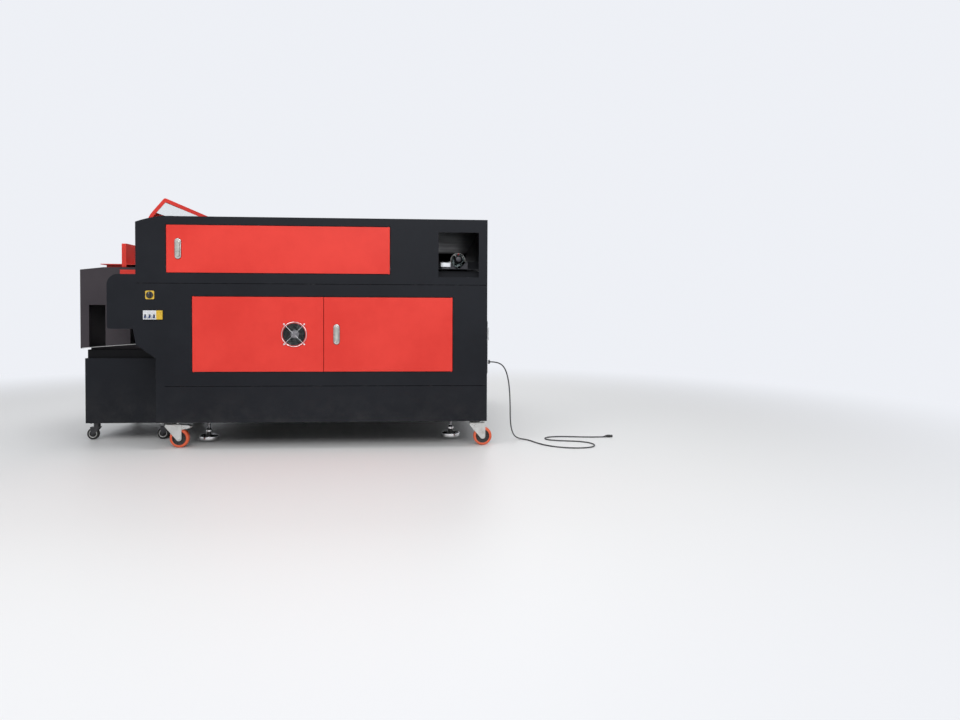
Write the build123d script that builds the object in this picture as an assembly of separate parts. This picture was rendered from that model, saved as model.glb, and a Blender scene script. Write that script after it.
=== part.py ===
"""Carbon dioxide laser cutter with a conveyor bed and a control console that rolls up to its nose.

Millimetres, +Z up. While it is drawn, x is 0 at the body's front wall and grows to the rear, y is 0 on
the centre line and grows away from the near side, and z is 0 on the floor. At the end everything moves
by ORIGIN, to stand on the middle of the machine's footprint.
"""

import math
import os

from build123d import *

# Body
LENGTH = 1816.0
WIDTH = 2330.0
TOP = 1210.0
BOTTOM = 140.0
SIDE_SHEET = 2.5
SHEET = 2.0
HALF = WIDTH / 2
INNER = HALF - SIDE_SHEET

# Running clearance of a pin or shaft, and how far a cut runs past the face that it opens
RUNNING = 0.05
THROUGH = 1.0

# Outline of the side: rounded shoulder, conveyor nose and stepped-back foot
SHOULDER_X = 206.0
SHOULDER_DROP = 31.0
SHOULDER_Z = TOP - SHOULDER_DROP
SHOULDER_BULGE = 11.0
NOSE_REACH = 144.0
NOSE_TOP = 910.0
NOSE_HEIGHT = 282.0
NOSE_BOTTOM = NOSE_TOP - NOSE_HEIGHT
NOSE_RADIUS = 55.0
NOSE_LOWER_RADIUS = 12.0
CHIN_X = 14.0
CHIN_DROP = 81.0
CHIN_Z = NOSE_BOTTOM - CHIN_DROP
FOOT_X = 99.0
FOOT_DROP = 72.0
FOOT_Z = CHIN_Z - FOOT_DROP
LOWER_SEAM = 330.0
UPPER_SEAM_DROP = 46.0
SEAM_HEIGHTS = (LOWER_SEAM, NOSE_TOP - UPPER_SEAM_DROP)
SEAM_WIDTH = 3.0
SEAM_DEPTH = 0.8
SEAM_STARTS = (FOOT_X + 45.0, 4.0)

# Doors in the near side: the sheet's edge is turned in round each
DOOR_GAP = 3.0
DOOR_SHEET = 2.0
DOOR_DEPTH = 15.0
DOOR_PROUD = 1.0
DOOR_EDGE = 1.0
TURN_IN = 20.0
UPPER_DOOR_START = 152.0
UPPER_DOOR_LENGTH = 1151.0
UPPER_DOOR_RISE = 7.0
UPPER_DOOR_DROP = 42.0
UPPER_DOOR_X = (UPPER_DOOR_START, UPPER_DOOR_START + UPPER_DOOR_LENGTH)
UPPER_DOOR_Z = (NOSE_TOP + UPPER_DOOR_RISE, TOP - UPPER_DOOR_DROP)
LOWER_DOOR_START = 281.0
LOWER_DOOR_REAR = 182.0
LOWER_DOOR_BASE = 403.0
LOWER_DOOR_HEIGHT = 396.0
LOWER_DOOR_X = (LOWER_DOOR_START, LENGTH - LOWER_DOOR_REAR)
LOWER_DOOR_Z = (LOWER_DOOR_BASE, LOWER_DOOR_BASE + LOWER_DOOR_HEIGHT)
LOWER_SPLIT_X = 956.0
HINGE_INSET = 5.0
HINGE_PIN = 5.0
HINGE_PIN_REACH = 7.0
UPPER_HINGE_X = UPPER_DOOR_X[1] - DOOR_GAP - HINGE_INSET
LEFT_HINGE_X = LOWER_DOOR_X[0] + DOOR_GAP + HINGE_INSET
RIGHT_HINGE_X = LOWER_DOOR_X[1] - DOOR_GAP - HINGE_INSET

# Door locks with their turn handles
LOCK_INSET = 62.0
LOWER_LOCK_INSET = 67.0
UPPER_LOCK = (UPPER_DOOR_X[0] + LOCK_INSET, sum(UPPER_DOOR_Z) / 2)
LOWER_LOCK = (LOWER_SPLIT_X + LOWER_LOCK_INSET, sum(LOWER_DOOR_Z) / 2)
LOCK_WIDTH = 31.0
LOCK_HEIGHT = 105.0
LOCK_THICK = 4.0
LOCK_EDGE = 1.5
LOCK_HOLE = 20.0
LOCK_BARREL = 19.6
LOCK_NUT = (27.0, 5.0)
HANDLE_WIDTH = 20.0
HANDLE_HEIGHT = 84.0
HANDLE_THICK = 4.5
HANDLE_EDGE = 1.8
HANDLE_SPINDLE = 10.0
HANDLE_CLEAR = 0.1
CAM_LENGTH = 76.0
CAM_WIDTH = 16.0
CAM_THICK = 3.0
CAM_CORNER = 4.0
CAM_CLEAR = 1.5

# Fan in the left lower door
FAN_FROM_SPLIT = 152.0
FAN_X = LOWER_SPLIT_X - FAN_FROM_SPLIT
FAN_Z = sum(LOWER_DOOR_Z) / 2
FAN_SIZE = 120.0
FAN_DEPTH = 38.0
FAN_BORE = 116.0
FAN_CORNER = 5.0
FAN_WALL = 4.0
FAN_BACK = 5.0
FAN_STRUT = 5.0
FAN_HUB = 44.0
FAN_SPINDLE_SEAT = 2.0
ROTOR_INSET = (5.0, 7.0)
FAN_HUB_EDGE = 3.0
FAN_SPINDLE = 6.0
FAN_BLADES = 7
FAN_BLADE = (2.2, 26.0)
FAN_PITCH_DEG = 42.0
FAN_TIP_GAP = 1.5
FAN_SCREW_PITCH = 105.0
FAN_SCREW_HOLE = 4.3
GUARD_WIRE = 2.4
GUARD_RINGS = (22.0, 36.0, 50.0, 64.0)
GUARD_PROUD = 6.5
GUARD_EYE = 9.0
GUARD_CENTRE = 20.0
GUARD_WELD = 0.8

# Window over the end of the laser tube
WINDOW_REAR = 46.0
WINDOW_WIDTH = 214.0
WINDOW_BELOW_NOSE = 5.0
WINDOW_DROP = 68.0
WINDOW_X = (LENGTH - WINDOW_REAR - WINDOW_WIDTH, LENGTH - WINDOW_REAR)
WINDOW_Z = (NOSE_TOP - WINDOW_BELOW_NOSE, TOP - WINDOW_DROP)

# Lid over the front of the bed
LID_SIDE = 272.0
LID_HALF = HALF - LID_SIDE
LID_GAP = 2.0
LID_DEEP = 300.0
LID_TUCK = 3.0
LID_SHEET = 2.5
LID_RIM = 20.0
LID_HINGE_X = 364.0
LID_HINGE_RISE = 5.0
LID_KNUCKLE = 12.0
LID_PIN = 6.0
LID_LEAF = 34.0
LID_LEAF_THICK = 2.5
LID_LEAF_LAP = 1.5
LID_HINGE_PITCH = 640.0
LID_HINGES_Y = (-LID_HINGE_PITCH, 0.0, LID_HINGE_PITCH)
LID_HINGE_LENGTH = 90.0
LID_CORNER = (28.0, TOP - 7.0)
LID_KNEE = (-6.0, TOP - 125.0)
LID_LOWER_RISE = 58.0
LID_LOWER = NOSE_TOP + LID_LOWER_RISE
LID_CORNER_RADIUS = 14.0
LID_KNEE_RADIUS = 160.0
LID_OPEN_DEG = 24.5
WINDOW_SHEET = 3.0
WINDOW_MARGIN = 45.0
WINDOW_LAP = 18.0
LIP_WINDOW_Z = (TOP - 102.0, TOP - 30.0)
OPENING_FLANGE = 88.0
GRIP_LENGTH = 160.0
GRIP_HEIGHT = 26.0
GRIP_DEPTH = 8.0
GRIP_RISE = 30.0

# Welded frame
TUBE = 60.0
TUBE_WALL = 3.0
FRAME_INSET = 72.5
FRAME_Y = INNER - FRAME_INSET
POST = 50.0
FOOT_FROM_FRONT = 296.0
FOOT_FROM_REAR = 187.0
FEET_X = (FOOT_FROM_FRONT, LENGTH - FOOT_FROM_REAR)
POST_FROM_FRONT = 150.0
POST_FROM_REAR = 136.0
POST_X = (POST_FROM_FRONT, LOWER_SPLIT_X, LENGTH - POST_FROM_REAR)
CROSS_X = (FEET_X[0], sum(FEET_X) / 2, FEET_X[1])
RAIL_RISE = 30.0
RAIL_Z = NOSE_TOP + RAIL_RISE
FLOOR_PAN = 3.0
PAN_TOP = BOTTOM + TUBE + FLOOR_PAN

# Conveyor bed
ROLLER = 100.0
ROLLER_WALL = 5.0
ROLLER_DISH = 8.0
SHAFT = 20.0
BELT = 3.0
BELT_CLEAR = 0.3
BELT_SUNK = 2.7
NOSE_CLEAR = 1.7
ROLLER_Z = NOSE_TOP - BELT_SUNK - BELT - BELT_CLEAR - ROLLER / 2
FRONT_ROLLER_X = -NOSE_REACH + NOSE_CLEAR + BELT + BELT_CLEAR + ROLLER / 2
ROLLER_FROM_REAR = 96.0
REAR_ROLLER_X = LENGTH - ROLLER_FROM_REAR
CHEEK_THICK = 8.0
CHEEK_HEIGHT = 70.0
BED_ARM = 172.0
BED_ARM_FOOT = (4.0, 30.0)
BED_ARM_THICK = 5.0
CHEEK_INNER = FRAME_Y - TUBE / 2 - BED_ARM - CHEEK_THICK
ROLLER_END_GAP = 10.0
ROLLER_HALF = CHEEK_INNER - ROLLER_END_GAP
BELT_INSET = 8.0
BELT_HALF = ROLLER_HALF - BELT_INSET
BED_TUBE = 40.0
BED_TUBES = 5
BED_FROM_FRONT = 130.0
BED_FROM_REAR = 176.0
BED_ENDS = (BED_FROM_FRONT, LENGTH - BED_FROM_REAR)
BED_TUBE_PITCH = (BED_ENDS[1] - BED_ENDS[0]) / (BED_TUBES - 1)
BED_TUBES_X = [BED_ENDS[0] + index * BED_TUBE_PITCH for index in range(BED_TUBES)]
DECK_SLATS = 24
DECK_SLAT = 4.0
BELT_MOUTH = 8.0
BELT_TOP = ROLLER_Z + ROLLER / 2 + BELT_CLEAR + BELT

# Gantry
RAIL_WIDTH = 20.0
RAIL_HEIGHT = 18.0
RAIL_BASE = 34.0
RAIL_STRIP = 12.0
RAIL_GROOVE = (3.0, 6.0)
RAIL_START = 170.0
SHELF_DEPTH = 260.0
SHELF_X = LENGTH - SHELF_DEPTH
RAIL_END_GAP = 36.0
RAIL_X = (RAIL_START, SHELF_X - RAIL_END_GAP)
BEAM_X = 700.0
BEAM_DEPTH = 60.0
BEAM_HEIGHT = 80.0
BEAM_WALL = 5.0
BEAM_FACE_WALL = 12.0
BEAM_GROOVE = 8.0
BEAM_GROOVE_DEEP = 6.0
BEAM_GROOVE_INSET = 20.0
CARRIAGE = 120.0
CARRIAGE_CHEEK = 16.0
CARRIAGE_HEIGHT = 26.0
CARRIAGE_DROP = 10.0
SLIDE_CLEAR = 0.1
RAIL_TOP = RAIL_Z + RAIL_STRIP + RAIL_HEIGHT
CARRIAGE_LOW = RAIL_TOP - CARRIAGE_DROP
BEAM_LOW = CARRIAGE_LOW + CARRIAGE_HEIGHT
BEAM_HIGH = BEAM_LOW + BEAM_HEIGHT
BEAM_FRONT = BEAM_X - BEAM_DEPTH / 2
HEAD_Y = -300.0
HEAD_WIDTH = 90.0
HEAD_PLATE = 10.0
HEAD_REACH = (20.0, 8.0)
HEAD_BLOCK = 44.0
HEAD_BLOCK_INSET = (22.0, 8.0)
HEAD_CHAMFER = 8.0
LENS_TUBE = 32.0
LENS_NUT = (42.0, 12.0, 4.0)
NOZZLE_TIP = 8.0
NOZZLE_BORE = 3.0
NOZZLE_CONE = 26.0
NOZZLE_HEIGHT = 18.0

# Laser tube
TUBE_FROM_REAR = 146.0
TUBE_X = LENGTH - TUBE_FROM_REAR
TUBE_LENGTH = 1950.0
TUBE_DIAMETER = 80.0
TUBE_NECK = 44.0
TUBE_NECK_LENGTH = 70.0
TUBE_SHOULDER = 12.0
TUBE_TIP = (15.4, 18.0)
SHELF_RISE = 10.0
SHELF_Z = RAIL_Z + SHELF_RISE
SHELF_LIP = 22.0
TUBE_RISE = 64.0
TUBE_Z = SHELF_Z + TUBE_RISE
MOUNT_Y = (-880.0, -300.0, 300.0, 880.0)
MOUNT_THICK = 24.0
MOUNT_WIDTH = 110.0
MOUNT_DROP = 10.0
TUBE_CLEAR = 0.3

# Electrics
SUPPLY = (300.0, 160.0, 240.0)
SUPPLY_X = 1060.0
SUPPLY_SIDE = 180.0
SUPPLY_Y = SUPPLY_SIDE - HALF
SUPPLY_FINS = 14
SUPPLY_FIN = (4.0, 14.0, 12.0)
BREAKER_START = 40.0
BREAKER_POLE = 22.0
BREAKER_POLES = 3
BREAKER_MODULE = 30.0
BREAKER_BASE = 677.0
BREAKER_HEIGHT = 46.0
BREAKER_X = (BREAKER_START, BREAKER_START + BREAKER_POLES * BREAKER_POLE)
BREAKER_END = BREAKER_X[1] + BREAKER_MODULE
BREAKER_Z = (BREAKER_BASE, BREAKER_BASE + BREAKER_HEIGHT)
BREAKER_PROUD = 9.0
BREAKER_DEEP = 48.0
BREAKER_FIT = 0.2
MODULE_SUNK = 2.0
MODULE_WINDOW = (6.0, 10.0)
POLE_GROOVE = (0.8, 1.5)
LEVER_SLOT = (11.0, 14.0)
LEVER_SLOT_INSET = 6.0
LEVER_SLOT_HEIGHT = 20.0
LEVER_SLOT_Z = (BREAKER_BASE + LEVER_SLOT_INSET, BREAKER_BASE + LEVER_SLOT_INSET + LEVER_SLOT_HEIGHT)
LEVER = (9.0, 14.0)
LEVER_ROOT = 2.6
LEVER_END = 1.8
LEVER_PIN = 3.0
LEVER_PIN_DEEP = 8.0
LEVER_PIN_INSET = 3.0
LEVER_TIE = (3.0, 6.0)
LEVER_TIE_HEIGHT = 4.0
LEVER_DOWN_DEG = 28.0
LEVER_PIVOT = (-HALF - BREAKER_PROUD + LEVER_PIN_DEEP, sum(LEVER_SLOT_Z) / 2)
SWITCH_X = 72.0
SWITCH_RISE = 80.0
SWITCH_Z = BREAKER_Z[1] + SWITCH_RISE
SWITCH_SIZE = 44.0
SWITCH_CORNER = 6.0
SWITCH_PLATE = 3.0
SWITCH_HOLE = 24.0
SWITCH_BODY = (23.6, 40.0)
KNOB = (36.0, 4.0)
KNOB_GRIP = (10.0, 32.0, 7.9)
KNOB_SPINDLE = (8.0, 14.0)
SOCKET_SIDE = 120.0
SOCKET_Y = SOCKET_SIDE - HALF
SOCKET_Z = (389.0, 672.0)
SOCKET_WIDTH = 120.0
SOCKET_THICK = 2.0
SOCKET_OFF = 6.0
STANDOFF = (8.0, 12.0)
OUTLET_DROP = 70.0
OUTLET = (64.0, 68.0, 8.0)
OUTLET_BORE = (40.0, 5.0)
CABLE_Z = 448.0
CABLE = 7.0
GLAND = 13.0
GLAND_NUT = (21.0, 8.1)
GLAND_LENGTH = 18.0
VENT_ROWS = 6
VENT_PITCH = 22.0
VENT = (160.0, 7.0)
VENT_SPREAD = 390.0
FEED_SLOT_DROP = 40.0
FEED_SLOT_BELOW_SHELF = 10.0

# Casters and feet of the machine
CASTER_WHEEL = 100.0
CASTER_TREAD = 30.0
CASTER_TRAIL = 42.0
CASTER_PLATE = (110.0, 90.0, 5.0)
CASTER_FROM_FRONT = 152.0
CASTER_FROM_REAR = 60.0
CASTER_X = (CASTER_FROM_FRONT, LENGTH - CASTER_FROM_REAR)
FOOT_PAD = 104.0
FOOT_STEM = 16.0
FOOT_NUT = (15.0, 14.0)
FOOT_INSET = 168.0
FEET_Y = FRAME_Y - FOOT_INSET
FOOT_GAPS = (12.0, 20.0)
FOOT_DISC = ((0.0, 0.0), (0.0, 21.0), (4.0, 24.0), (30.0, 27.0), (40.0, 29.0))
FOOT_CONE = ((40.0, 42.0), (34.0, 44.0), (34.0, 54.0), (42.0, 64.0))
FOOT_NECK = 66.0

# Console in front of the nose
CONSOLE_SIDE = 297.0
CONSOLE_WIDTH = 700.0
CONSOLE_Y = (CONSOLE_SIDE - HALF, CONSOLE_SIDE - HALF + CONSOLE_WIDTH)
HOOD_GAP = 0.3
HOOD_DEPTH = 267.0
CONSOLE_FRONT = -NOSE_REACH - HOOD_DEPTH
CABINET_X = (CONSOLE_FRONT + 22.0, FOOT_X - 33.0)
CABINET_Z = (97.0, 457.0)
CABINET_CORNER = 4.0
NECK_X = (CONSOLE_FRONT + 27.0, -20.0)
NECK_RISE = 47.0
NECK_TOP = CABINET_Z[1] + NECK_RISE
NECK_INSET = 26.0
SHELF_PLATE = 3.0
SHELF_BRACKET = 6.0
SHELF_BRACKET_INSET = 60.0
CONSOLE_SHELF_X = (CONSOLE_FRONT + 8.0, -24.0)
CONSOLE_SHELF_Z = (NECK_TOP + 12.0, NECK_TOP + 40.0)
HOOD_X = (CONSOLE_FRONT, -NOSE_REACH - HOOD_GAP)
HOOD_RISE = 51.0
HOOD_TOP = NOSE_TOP + HOOD_RISE
HOOD_SKIRT_DROP = 4.0
HOOD_EDGE = 4.0
HOOD_SLOPE = (127.0, 14.0)
HOOD_OPEN_X = (CONSOLE_FRONT + 46.0, CONSOLE_FRONT + 134.0)
HOOD_OPEN_DROP = 208.0
HOOD_OPEN_TOP = HOOD_TOP - HOOD_OPEN_DROP
HOOD_CAP = 13.0
HOOD_CAP_LOW = HOOD_TOP - HOOD_CAP
HOOD_CAP_END = -20.0
TOP_PLATE_RISE = 15.0
TOP_PLATE_THICK = 4.0
TOP_PLATE = (HOOD_TOP + TOP_PLATE_RISE, HOOD_TOP + TOP_PLATE_RISE + TOP_PLATE_THICK)
TOP_PLATE_X = (CONSOLE_FRONT + 107.0, HOOD_CAP_END)
TOP_PLATE_FOOT = 20.0
BOX_X = (-NOSE_REACH - 46.0, -NOSE_REACH - 22.0)
BOX_HEIGHT = 132.0
BOX_TOP = HOOD_TOP + BOX_HEIGHT
BOX_WIDTH = 442.0
BOX_INSET = 6.0
BOX_Y = (CONSOLE_Y[0] + BOX_INSET, CONSOLE_Y[0] + BOX_INSET + BOX_WIDTH)
BOX_CORNER = 5.0
PANEL_THICK = 2.5
PANEL_FIT = 1.0
SCREEN_INSET = 36.0
SCREEN_WIDTH = 150.0
SCREEN_MARGIN = 15.0
BEZEL = 7.0
BEZEL_PROUD = 2.5
SCREEN_SUNK = 1.5
KEYS = (4, 3)
KEYS_START = 230.0
KEY = (18.0, 16.0, 1.5)
KEY_PITCH = (26.0, 27.0)
BUTTON = 28.0
BUTTON_INSET = 52.0
BUTTON_LIFT = 8.0
BUTTON_THICK = 9.0
BUTTON_EDGE = 3.0
BUTTON_STEM = 12.0
APRON_X = (BOX_X[0] - 7.0, HOOD_CAP_END)
APRON_HEIGHT = 35.0
BUTTON_PLACE = (BOX_Y[1] - BUTTON_INSET, (TOP_PLATE[1] + BOX_TOP) / 2)
CONSOLE_WHEEL = 65.0
CONSOLE_TREAD = 22.0
CONSOLE_TRAIL = -20.0
CONSOLE_PLATE = (60.0, 60.0, 3.0)
CONSOLE_CASTER_X = (CABINET_X[0] + 44.0, CABINET_X[1] - 30.0)
CONSOLE_CASTER_INSET = 45.0

# Shares of a caster's own sizes: fork, hub and wheel
FORK_CLEAR = 3.0
FORK_SIDE_SHARE = 0.6
LEG_SHARE = 0.6
FORK_SHARE = 0.32
FORK_REACH_SHARE = 0.2
RACE_SHARE = 0.92
HUB_SHARE = 0.26
AXLE_SHARE = 0.9
AXLE_END_SHARE = 0.35
KINGPIN_SHARE = 0.14
WHEEL_HUB_SHARE = 0.34
WHEEL_WEB_SHARE = 0.45
WHEEL_RIM_SHARE = 0.72
WHEEL_CROWN_SHARE = 0.25
BOLT_SHARES = (0.39, 0.37)
BOLT_SHARE = 0.1
PLATE_CORNER_SHARE = 0.06

# Cable route in the open, from the gland to the plug on the floor
FLOOR_CLEAR = 0.1
FLOOR_CABLE = CABLE / 2 + FLOOR_CLEAR
CABLE_EXIT_X = LENGTH + SOCKET_OFF + SOCKET_THICK + GLAND_LENGTH
ROUTE = [
    (CABLE_EXIT_X, SOCKET_Y, CABLE_Z),
    (1880.0, SOCKET_Y, CABLE_Z),
    (1920.0, -1043.0, 424.0),
    (1942.0, -1038.0, 366.0),
    (1953.0, -1028.0, 290.0),
    (1958.0, -1012.0, 210.0),
    (1961.0, -990.0, 136.0),
    (1967.0, -968.0, 84.0),
    (1978.0, -950.0, 42.0),
    (1998.0, -939.0, 14.0),
    (2028.0, -940.0, FLOOR_CABLE),
    (2056.0, -964.0, FLOOR_CABLE),
    (2078.0, -1010.0, FLOOR_CABLE),
    (2100.0, -1070.0, FLOOR_CABLE),
    (2130.0, -1136.0, FLOOR_CABLE),
    (2196.0, -1204.0, FLOOR_CABLE),
    (2282.0, -1236.0, FLOOR_CABLE),
    (2366.0, -1222.0, FLOOR_CABLE),
    (2408.0, -1160.0, FLOOR_CABLE),
    (2398.0, -1084.0, FLOOR_CABLE),
    (2342.0, -1032.0, FLOOR_CABLE),
    (2262.0, -1016.0, FLOOR_CABLE),
    (2196.0, -994.0, FLOOR_CABLE),
    (2162.0, -952.0, FLOOR_CABLE),
    (2174.0, -904.0, FLOOR_CABLE),
    (2220.0, -878.0, FLOOR_CABLE),
    (2288.0, -874.0, FLOOR_CABLE),
    (2366.0, -892.0, FLOOR_CABLE),
    (2444.0, -902.0, FLOOR_CABLE),
    (2512.0, -898.0, FLOOR_CABLE),
]
PLUG = 16.0
PLUG_LENGTH = 54.0
PLUG_SLEEVE = 16.0
PLUG_COLLAR = 16.0
PLUG_STEP = 1.2

# The machine stands over the middle of its footprint, cable apart
REAR_REACH = CASTER_X[1] + CASTER_TRAIL + CASTER_WHEEL / 2
LOCK_REACH = DOOR_PROUD + LOCK_THICK + HANDLE_CLEAR + HANDLE_THICK
LEVER_REACH = BREAKER_PROUD + LEVER_TIE[1]
ORIGIN = Vector(-(CONSOLE_FRONT + REAR_REACH) / 2, max(LOCK_REACH, LEVER_REACH) / 2, 0)


def block(x, y, z):
    """Box between pairs of limits."""
    size = (x[1] - x[0], y[1] - y[0], z[1] - z[0])
    middle = Pos(sum(x) / 2, sum(y) / 2, sum(z) / 2)
    return middle * Box(*size)


def around(middle, width):
    """Limits that lie evenly about a middle."""
    return middle - width / 2, middle + width / 2


def past(limits):
    """Limits run on by THROUGH at both ends, for a cut."""
    return min(limits) - THROUGH, max(limits) + THROUGH


def within(limits, wall):
    """Limits drawn in by a wall at both ends."""
    return limits[0] + wall, limits[1] - wall


def prism(face, y):
    """A face drawn with x across and z up, run along y between two limits."""
    plane = Plane(origin=(0, y[1], 0), x_dir=(1, 0, 0), z_dir=(0, -1, 0))
    return extrude(plane * face, amount=y[1] - y[0])


def rod(start, end, diameter):
    """Round bar between two points."""
    line = Vector(*end) - Vector(*start)
    plane = Plane(origin=start, z_dir=line)
    return extrude(plane * Circle(diameter / 2), amount=line.length)


def rod_x(x, at, diameter):
    """Round bar along x through a point in y and z."""
    return rod((x[0], *at), (x[1], *at), diameter)


def rod_y(at, y, diameter):
    """Round bar along y through a point in x and z."""
    return rod((at[0], y[0], at[1]), (at[0], y[1], at[1]), diameter)


def rod_z(at, z, diameter):
    """Upright round bar through a point in x and y."""
    return rod((*at, z[0]), (*at, z[1]), diameter)


def both(piece):
    """A piece on one side and its mirror on the other."""
    return piece + mirror(piece, about=Plane.XZ)


def assembly(pieces):
    """Pieces that touch face to face and stay separate solids."""
    return Compound([piece.solid() for piece in pieces])


def side_outline():
    """The side's outline: shoulder arc, round-cornered nose, chin and foot."""
    rear_low, rear_high = (LENGTH, BOTTOM), (LENGTH, TOP)
    middle = (SHOULDER_X / 2, (TOP + SHOULDER_Z) / 2 + SHOULDER_BULGE)
    lower = NOSE_LOWER_RADIUS
    cut_corner = 1 - math.sqrt(0.5)
    corner, low_corner = NOSE_RADIUS * cut_corner, lower * cut_corner
    edges = [
        Line(rear_low, rear_high),
        Line(rear_high, (SHOULDER_X, TOP)),
        ThreePointArc((SHOULDER_X, TOP), middle, (0, SHOULDER_Z)),
        Line((0, SHOULDER_Z), (0, NOSE_TOP)),
        Line((0, NOSE_TOP), (NOSE_RADIUS - NOSE_REACH, NOSE_TOP)),
        ThreePointArc(
            (NOSE_RADIUS - NOSE_REACH, NOSE_TOP),
            (corner - NOSE_REACH, NOSE_TOP - corner),
            (-NOSE_REACH, NOSE_TOP - NOSE_RADIUS),
        ),
        Line((-NOSE_REACH, NOSE_TOP - NOSE_RADIUS), (-NOSE_REACH, NOSE_BOTTOM + lower)),
        ThreePointArc(
            (-NOSE_REACH, NOSE_BOTTOM + lower),
            (low_corner - NOSE_REACH, NOSE_BOTTOM + low_corner),
            (lower - NOSE_REACH, NOSE_BOTTOM),
        ),
        Line((lower - NOSE_REACH, NOSE_BOTTOM), (-CHIN_X, NOSE_BOTTOM)),
        Line((-CHIN_X, NOSE_BOTTOM), (0, CHIN_Z)),
        Line((0, CHIN_Z), (FOOT_X, FOOT_Z)),
        Line((FOOT_X, FOOT_Z), (FOOT_X, BOTTOM)),
        Line((FOOT_X, BOTTOM), rear_low),
    ]
    return make_face(edges)


OUTLINE = side_outline()
WRAP = prism(OUTLINE - offset(OUTLINE, -SHEET), (-INNER, INNER))
WIDE = (-HALF, HALF)


def opening_frame(x, z, outer):
    """Block round a door opening, whose edge is turned in."""
    return block(within(x, -SIDE_SHEET), (outer, outer + TURN_IN), within(z, -SIDE_SHEET))


def hinge_holes(x, z, outer):
    """Holes above and below a door for its hinge pins."""
    y = outer + HINGE_INSET - DOOR_PROUD
    return rod_z((x, y), within(z, -2 * SIDE_SHEET), HINGE_PIN + 2 * RUNNING)


def seams(y):
    """Grooves where the lower, middle and upper parts of a side meet."""
    cuts = Part()
    for start, height in zip(SEAM_STARTS, SEAM_HEIGHTS):
        cuts += block((start, LENGTH), y, around(height, SEAM_WIDTH))
    return cuts


def vents(spread):
    """Two stacks of vent slots on a side or the rear, drawn flat about their middle."""
    slots = Sketch()
    for side in (-1, 1):
        for row in range(VENT_ROWS):
            z = FAN_Z + (row - (VENT_ROWS - 1) / 2) * VENT_PITCH
            slots += Pos(side * spread, z) * SlotOverall(*VENT)
    return slots


def make_near_side_panel():
    """Near side: doors, tube window and the cut-outs for the breaker and the main switch."""
    outer = -HALF
    panel = prism(OUTLINE, (outer, outer + SIDE_SHEET))
    openings = [(UPPER_DOOR_X, UPPER_DOOR_Z), (LOWER_DOOR_X, LOWER_DOOR_Z)]
    for x, z in openings:
        panel += opening_frame(x, z, outer)
    for x, z in openings:
        panel -= block(x, past((outer, outer + TURN_IN)), z)
    hinges = [(UPPER_HINGE_X, UPPER_DOOR_Z), (LEFT_HINGE_X, LOWER_DOOR_Z), (RIGHT_HINGE_X, LOWER_DOOR_Z)]
    for hinge_x, z in hinges:
        panel -= hinge_holes(hinge_x, z, outer)
    through = past((outer, outer + SIDE_SHEET))
    panel -= block(WINDOW_X, through, WINDOW_Z)
    breaker_x = within((BREAKER_X[0], BREAKER_END), -BREAKER_FIT)
    panel -= block(breaker_x, through, within(BREAKER_Z, -BREAKER_FIT))
    panel -= rod_y((SWITCH_X, SWITCH_Z), through, SWITCH_HOLE)
    panel -= seams((outer - THROUGH, outer + SEAM_DEPTH))
    return panel


def make_far_side_panel():
    """Far side: the same sheet with its tube window and vent slots in place of doors."""
    outer = HALF
    panel = prism(OUTLINE, (outer - SIDE_SHEET, outer))
    through = past((outer - SIDE_SHEET, outer))
    panel -= block(WINDOW_X, through, WINDOW_Z)
    panel -= prism(Pos(sum(LOWER_DOOR_X) / 2, 0) * vents(VENT_SPREAD), through)
    panel -= seams((outer - SEAM_DEPTH, outer + THROUGH))
    return panel


def make_top_cover():
    """Top sheet with its shoulder and front corners, cut out for the lid, and the flanges of that edge."""
    cover = WRAP & block((-THROUGH, LENGTH - SHEET), WIDE, (NOSE_TOP, TOP + THROUGH))
    lid_opening = LID_HALF + LID_GAP
    rear_edge = LID_HINGE_X + LID_KNUCKLE / 2
    cover -= block((-THROUGH, rear_edge), (-lid_opening, lid_opening), past((NOSE_TOP, TOP)))
    inner = offset(OUTLINE, -SHEET)
    side = prism(inner, (lid_opening, lid_opening + SHEET))
    side &= block((SHEET, rear_edge + SHEET), (0, HALF), (TOP - OPENING_FLANGE, TOP))
    rear_z = (TOP - OPENING_FLANGE / 2, TOP - SHEET)
    rear = block((rear_edge, rear_edge + SHEET), (-lid_opening, lid_opening), rear_z)
    for y in LID_HINGES_Y:
        cover += hinge_leaf(y, 1) + hinge_leaf(y, -1)
    return assembly([cover, side, mirror(side, about=Plane.XZ), rear])


def hinge_leaf(y, end):
    """One outer knuckle of a lid hinge with its leaf on the top sheet."""
    third = LID_HINGE_LENGTH / 3
    limits = sorted((y + end * (third / 2 + LID_GAP / 4), y + end * LID_HINGE_LENGTH / 2))
    axis = (LID_HINGE_X, TOP + LID_HINGE_RISE)
    leaf = block((LID_HINGE_X, LID_HINGE_X + LID_LEAF), limits, (TOP, TOP + LID_LEAF_THICK))
    barrel = rod_y(axis, limits, LID_KNUCKLE)
    return leaf + barrel - rod_y(axis, past(limits), LID_PIN + 2 * RUNNING)


def make_front_cover():
    """Front sheet: nose, chin and foot, open round the belt."""
    reach = -NOSE_REACH - THROUGH
    cover = WRAP & block((reach, FOOT_X + SHEET), WIDE, (BOTTOM + SHEET, NOSE_TOP))
    half_mouth = CHEEK_INNER + CHEEK_THICK + THROUGH
    mouth_low = ROLLER_Z - ROLLER / 2 - BELT_MOUTH
    return cover - block((reach, FOOT_X), (-half_mouth, half_mouth), (mouth_low, NOSE_TOP + THROUGH))


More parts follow.
